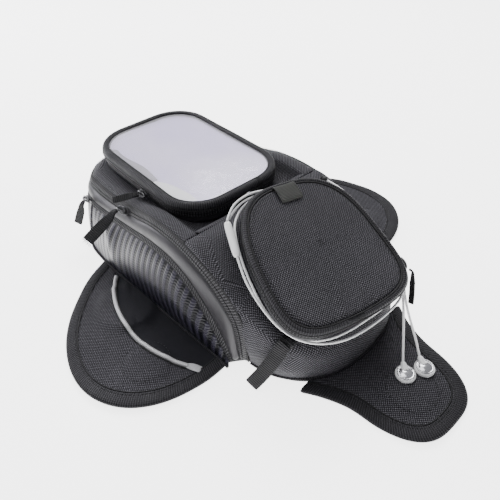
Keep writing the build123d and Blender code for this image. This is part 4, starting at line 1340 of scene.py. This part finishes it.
def make_reflective(name, sign):
    """Silver piping along the arc on a side flap, and its folded tag end."""
    start, end = math.radians(129), math.radians(58)
    line = []
    for k in range(70):
        a = start + (end - start) * k / 69
        x = ARC_CENTRE[0] + ARC_RADIUS * math.cos(a)
        y = ARC_CENTRE[1] + ARC_RADIUS * math.sin(a)
        line.append((x, sign * y, side_flap_z(x, y) + 0.9))
    strip = tube(f"{name}_silver", line, 1.9, SILVER, None, sides=10)
    made = [strip]
    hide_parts(f"{name}_strip")
    for part, push in (("outer", 2.5), ("inner", -2.5)):
        shifted = []
        for x, y, _ in line:
            away = Vector((x - ARC_CENTRE[0], y - sign * ARC_CENTRE[1])).normalized() * push
            shifted.append((x + away.x, y + away.y, side_flap_z(x + away.x, y + away.y) + 0.35))
        # Near-black cords of painted shade in the grooves beside the silver piping.
        seam = seam_cord(f"{name}_silver_seam_{part}", shifted, 0.7, GROOVE_SHADE, None)
        made.append(seam)
    tag = []
    last = Vector(line[-1])
    along = (last - Vector(line[-4])).normalized()
    across = along.cross(Vector((0, 0, 1))).normalized()
    for t, half, lift in ((-2, 1.9, 1.2), (0, 2.6, 1.5), (3, 3.4, 1.6), (7, 3.5, 1.3), (11, 3.3, 0.9),
                          (12, 3.2, 0.3)):
        row = []
        for s in np.linspace(-1, 1, 7):
            p = last + along * t + across * half * s
            row.append((p.x, p.y, side_flap_z(p.x, p.y) + lift + 0.25 * (1 - s * s)))
        tag.append(row)
    end_piece = grid(f"{name}_silver_tag", tag, SILVER, name, thick=0.8, levels=1, inside=(0, 0, -500))
    for piece in made:
        bake(piece)
        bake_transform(piece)


def make_magnet_covers(name, places, body):
    """Sewn ring over each magnet, which shows through the cloth."""
    for k, (x, y) in enumerate(places):
        height = side_flap_z if "nose" not in name else nose_flap_z
        ring = []
        for a in np.linspace(0, 2 * math.pi, 48):
            px, py = x + 20.5 * math.cos(a), y + 20.5 * math.sin(a)
            ring.append((px, py, height(px, py) + 0.3))
        stitches(f"{name}_magnet_stitches_{k}", ring, body, pitch=3.4)


def make_flaps():
    """Two side flaps and the nose flap."""
    for side, sign in (("left", -1), ("right", 1)):
        name = f"flap_{side}"

        def loop(inset, sign=sign):
            """This side's flap outline."""
            return side_flap_loop(inset, sign)

        made = make_flap(name, loop, side_flap_z,
                         True)
        make_reflective(name, sign)
        make_magnet_covers(name, [(44, sign * 143)], name)
        if side == "left":
            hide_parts("flap_roots")
    make_flap("flap_nose", nose_flap_loop, nose_flap_z,
              False)
    make_magnet_covers("flap_nose", [(210, 0)], "flap_nose")


# ---------------------------------------------------------------- sliders, pulls and straps


def block(name, at, axes, outline, thick, material, body, levels=2):
    """A small moulded block: an outline in its own plane, pulled to a thickness and rounded."""
    x_axis, y_axis, z_axis = (Vector(a).normalized() for a in axes)
    rings = [(0.0, 0.82), (0.04, 1.0), (0.96, 1.0), (1.0, 0.82)]
    middle = np.array(outline, float).mean(axis=0)
    rows = []
    for px, py in outline:
        row = []
        for t, size in rings:
            qx, qy = middle + (np.array((px, py)) - middle) * size
            row.append(tuple(Vector(at) + x_axis * qx + y_axis * qy + z_axis * (t - 0.5) * thick))
        rows.append(row)
    piece = grid(name, rows, material, body, wrap=True, cap=True, uv="box", levels=0, inside=at)
    mesh = bmesh.new()
    mesh.from_mesh(piece.data)
    rim = [e for e in mesh.edges if e.is_boundary]
    bmesh.ops.holes_fill(mesh, edges=rim)
    bmesh.ops.recalc_face_normals(mesh, faces=mesh.faces)
    mesh.to_mesh(piece.data)
    mesh.free()
    if levels:
        smooth = piece.modifiers.new("smooth", "SUBSURF")
        smooth.levels = smooth.render_levels = levels
        smooth.uv_smooth = "NONE"
    return piece


def make_slider(name, body, at, out, along, size):
    """Zipper slider: two shaped plates joined by a neck, with a bridge."""
    out, along = Vector(out).normalized(), Vector(along).normalized()
    side = out.cross(along)
    long, wide, deep = size
    half = long / 2
    shape = [(-half, -wide * 0.32), (-half * 0.5, -wide * 0.5), (half * 0.35, -wide * 0.5),
             (half, -wide * 0.3),
             (half, wide * 0.3), (half * 0.35, wide * 0.5), (-half * 0.5, wide * 0.5), (-half,
                     wide * 0.32)]
    axes = (along, side, out)
    top = block(f"{name}_plate", Vector(at) + out * deep * 0.1, axes, shape, 1.5, SLIDER, body)
    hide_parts(body)
    block(f"{name}_back_plate", Vector(at) - out * deep * 0.34, axes, shape, 1.3, SLIDER, body)
    neck = [(-half * 0.3, -wide * 0.12), (half * 0.5, -wide * 0.12), (half * 0.5, wide * 0.12),
            (-half * 0.3, wide * 0.12)]
    block(f"{name}_neck", Vector(at) - out * deep * 0.12, axes, neck, deep * 0.45, SLIDER, body)
    arch = []
    for t in np.linspace(0, 1, 15):
        rise = math.sin(math.pi * t) ** 0.6
        arch.append(Vector(at) + along * (half * 0.8 - long * 0.8 * t)
                    + out * (deep * 0.18 + rise * deep * 0.36))
    bridge = tube(f"{name}_bridge", arch, 0.95, SLIDER, body, levels=1)


def ribbon(name, path, widths, turns, thick, material, body, start_across, count=46):
    """Flat webbing along a path, with a width and a twist in degrees at each point."""
    line = by_length(path, count)
    at = np.linspace(0, 1, len(path))
    here = np.linspace(0, 1, count)
    wide = np.interp(here, at, widths)
    turn = np.radians(np.interp(here, at, turns))
    tangent = np.gradient(line, axis=0)
    rows = []
    for i in range(count):
        t = Vector(tangent[i]).normalized()
        across = Vector(start_across)
        across = (across - t * across.dot(t)).normalized()
        normal = t.cross(across)
        w = across * math.cos(turn[i]) + normal * math.sin(turn[i])
        n = t.cross(w)
        half, deep = wide[i] / 2, thick / 2
        ring = []
        for s, d in ((-1, -0.6), (-0.96, -1), (-0.5, -1.1), (0.5, -1.1), (0.96, -1), (1, -0.6),
                     (1, 0.6), (0.96, 1), (0.5, 1.1), (-0.5, 1.1), (-0.96, 1), (-1, 0.6)):
            ring.append(Vector(line[i]) + w * half * s + n * deep * d)
        rows.append(ring)
    rows = np.array([[tuple(p) for p in ring] for ring in rows])
    uv = arc_uv(rows)
    piece = grid(name, rows, material, body, wrap_across=True, levels=1, uv=uv,
                 inside=tuple(line[count // 2]))
    mesh = bmesh.new()
    mesh.from_mesh(piece.data)
    bmesh.ops.holes_fill(mesh, edges=[e for e in mesh.edges if e.is_boundary])
    bmesh.ops.recalc_face_normals(mesh, faces=mesh.faces)
    mesh.to_mesh(piece.data)
    mesh.free()
    return piece


def webbing(name, node, body, path, widths, turns, thick, start_across):
    """A webbing ribbon that takes the place of its CAD node."""
    piece = ribbon(name, path, widths, turns, thick, WEB, body, start_across)
    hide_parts(node)


def fray(name, at, across, down, count, length, body):
    """Short loose threads at a cut webbing end."""
    rng = np.random.default_rng(7)
    across, down = Vector(across), Vector(down).normalized()
    verts, faces = [], []
    for k in range(count):
        root = Vector(at) + across * (k / (count - 1) - 0.5)
        tip = root + down * length * (0.5 + rng.random()) + Vector(rng.normal(0, 0.5, 3))
        side = down.cross(Vector((0.3, 0.1, 1))).normalized() * 0.16
        base = len(verts)
        for p in (root - side, root + side, tip + side * 0.5, tip - side * 0.5):
            verts.append(tuple(p * MM))
        faces.append((base, base + 1, base + 2, base + 3))
    mesh = bpy.data.meshes.new(name)
    mesh.from_pydata(verts, [], faces)
    mesh.update()
    box_uv(mesh)
    piece = finish_mesh(name, mesh, FRAY, body, 0.25, 0, 0)


def make_pullers():
    """Every slider with its pull, the strap tail and the small ring."""
    make_slider("main_slider_body", "main_slider", (-66, -86.2, 74.4), (0, -0.75, 0.65), (1, 0, 0),
                (14, 6.6, 8))
    path = [(-66.4, -90.4, 76.6), (-66.8, -94.2, 76.2), (-66.2, -99.5, 73), (-65.6, -106, 70.2),
            (-64.6, -113, 67.6), (-63.6, -120, 65), (-63, -127, 62)]
    webbing("main_pull_webbing", "main_tail", "main_tail", path, [4, 6.4, 9, 10.4, 10.6, 10.6, 10.4],
            [50, 25, 5, 0, 0, 0, 0], 2.2, (0.75, 0.2, -0.55))
    fray("main_pull_fray", (-63, -127.2, 62), (7.6, 1.6, -5.6), (0.1, -1, -0.4), 16, 1.8, "main_tail")
    make_slider("phone_slider_body", "phone_slider", (-60, -65.6, 86.2), (0, -1, 0), (1, 0, 0),
                (13, 5.6, 6))
    path = [(-61, -68.8, 87), (-62.4, -72.6, 87.2), (-66, -77, 86), (-71, -83, 84), (-76, -88.5, 82)]
    webbing("phone_pull_webbing", "phone_tail", "phone_tail", path, [4.2, 5.4, 6.4, 6.6, 6.4],
            [-20, -40, -52, -48, -42], 2.4, (0.7, -0.7, 0))
    for side, sign in (("left", -1), ("right", 1)):
        make_slider(f"pocket_{side}_slider_body", f"pocket_slider_{side}", (-131, sign * 94.2, 56.8),
                    (0, sign, 0.2), (1, 0, 0), (13, 6, 6))
        path = [(-131.6, sign * 97.6, 56), (-132.4, sign * 100.4, 52.8), (-134, sign * 103, 45),
                (-136, sign * 106, 37), (-138, sign * 109, 29)]
        webbing(f"pocket_{side}_pull_webbing", f"pocket_tail_{side}", f"pocket_tail_{side}", path,
                [3.4, 5.6, 8, 8.4, 8.4], [sign * a for a in (10, 30, 42, 42, 38)], 2.0, (1, 0, 0))
    out, along = (ROUND_TURN @ Vector(a) for a in ((0.208, 0.978, 0), (0.978, -0.208, 0)))
    make_slider("round_slider_body", "round_slider", on_round(40, 61.7, -6), out, along, (12, 5, 5))
    route = ((46.6, 63.4, -5.6), (49.4, 64.8, -5.6), (53, 64.4, -8.6), (58, 63.2, -13.6),
             (64, 61.5, -19.2),
             (69.6, 59.3, -24.4))
    webbing("round_pull_webbing", "round_tail", "round_tail", [tuple(on_round(*p)) for p in route],
            [2.4, 4.2, 6, 6.2, 6.2, 6.2], [30, 10, 0, 0, 0,
                                           0], 1.4, tuple(ROUND_TURN @ Vector((0.67, -0.13, 0.76))))
    path = [(133.6, -67.4, 49.5), (133, -69, 47), (131.6, -73.4, 38), (129, -78.4, 28),
            (125, -85.4, 15),
            (121, -92, 4.2)]
    webbing("strap_webbing", "strap_tail", "strap_tail", path, [11] + [12] * 5, [0] * 6, 1.8,
            (0.9, 0.4, 0))
    path = [(133.4, -60.6, 49.6), (133.4, -63.4, 50), (133.4, -65.6, 49), (133.2, -66, 46.4),
            (133, -64.4, 45.2)]
    webbing("strap_anchor_webbing", "strap_anchor", "bag", path, [12] * 5, [0] * 5, 1.5, (0.95, 0.3, 0))
    make_ring()
    make_port()


def make_ring():
    """Light metal ring on the phone pouch's front, in its cloth loop."""
    ring = [(15.0, 1.5 + 4.9 * math.cos(a), 88.5 + 4.9 * math.sin(a))
            for a in np.linspace(0, 2 * math.pi, 40, endpoint=False)]
    metal = tube("pouch_ring_wire", ring, 0.75, STEEL, "pouch_ring", closed=True, sides=10, levels=1)
    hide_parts("pouch_ring")
    path = [(11.8, 1.5, 80.5), (12.4, 1.5, 83), (13.6, 1.5, 85.2), (14.6, 1.5, 85.4), (14.4, 1.5, 83.4),
            (13.0, 1.5, 81)]
    webbing("ring_loop_webbing", "ring_loop", "main_lid", path, [8] * 6, [0] * 6, 0.9, (0, 1, 0))


def make_port():
    """Rubber grommet that the earphone cable comes out of."""
    start, end = (43.8, 68, 93), (50.6, 68, 93)
    shape = [(0, 0.6), (0.02, 3.4), (0.2, 3.6), (0.3, 2.9), (0.42, 2.9), (0.5, 3.4), (0.86, 2.4),
             (1.0, 1.5), (1.0, 0.4)]
    port = turned_piece("audio_port_grommet", start, end, shape, RUBBER)
    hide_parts("audio_port")
    turned_piece("audio_port_foot", (46.4, 68, 92), (46.4, 68, 88.6),
                 [(0, 1.8), (0.6, 2.6), (0.8, 4.2), (1, 4.6), (1, 0.3)], RUBBER)


# ---------------------------------------------------------------- build

make_carbon_panels()
make_bands()
make_inner_walls()
make_lid()
make_hood()
make_base()
make_phone_pouch()
make_round_pouch()
make_flaps()
make_pullers()
NODE_LOOKS = {"base_board": BOARD, "flap_left_magnets": STEEL, "flap_right_magnets": STEEL,
              "flap_nose_magnets": STEEL}
for node, material in NODE_LOOKS.items():
    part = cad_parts[node]
    part.data.materials.clear()
    part.data.materials.append(material)
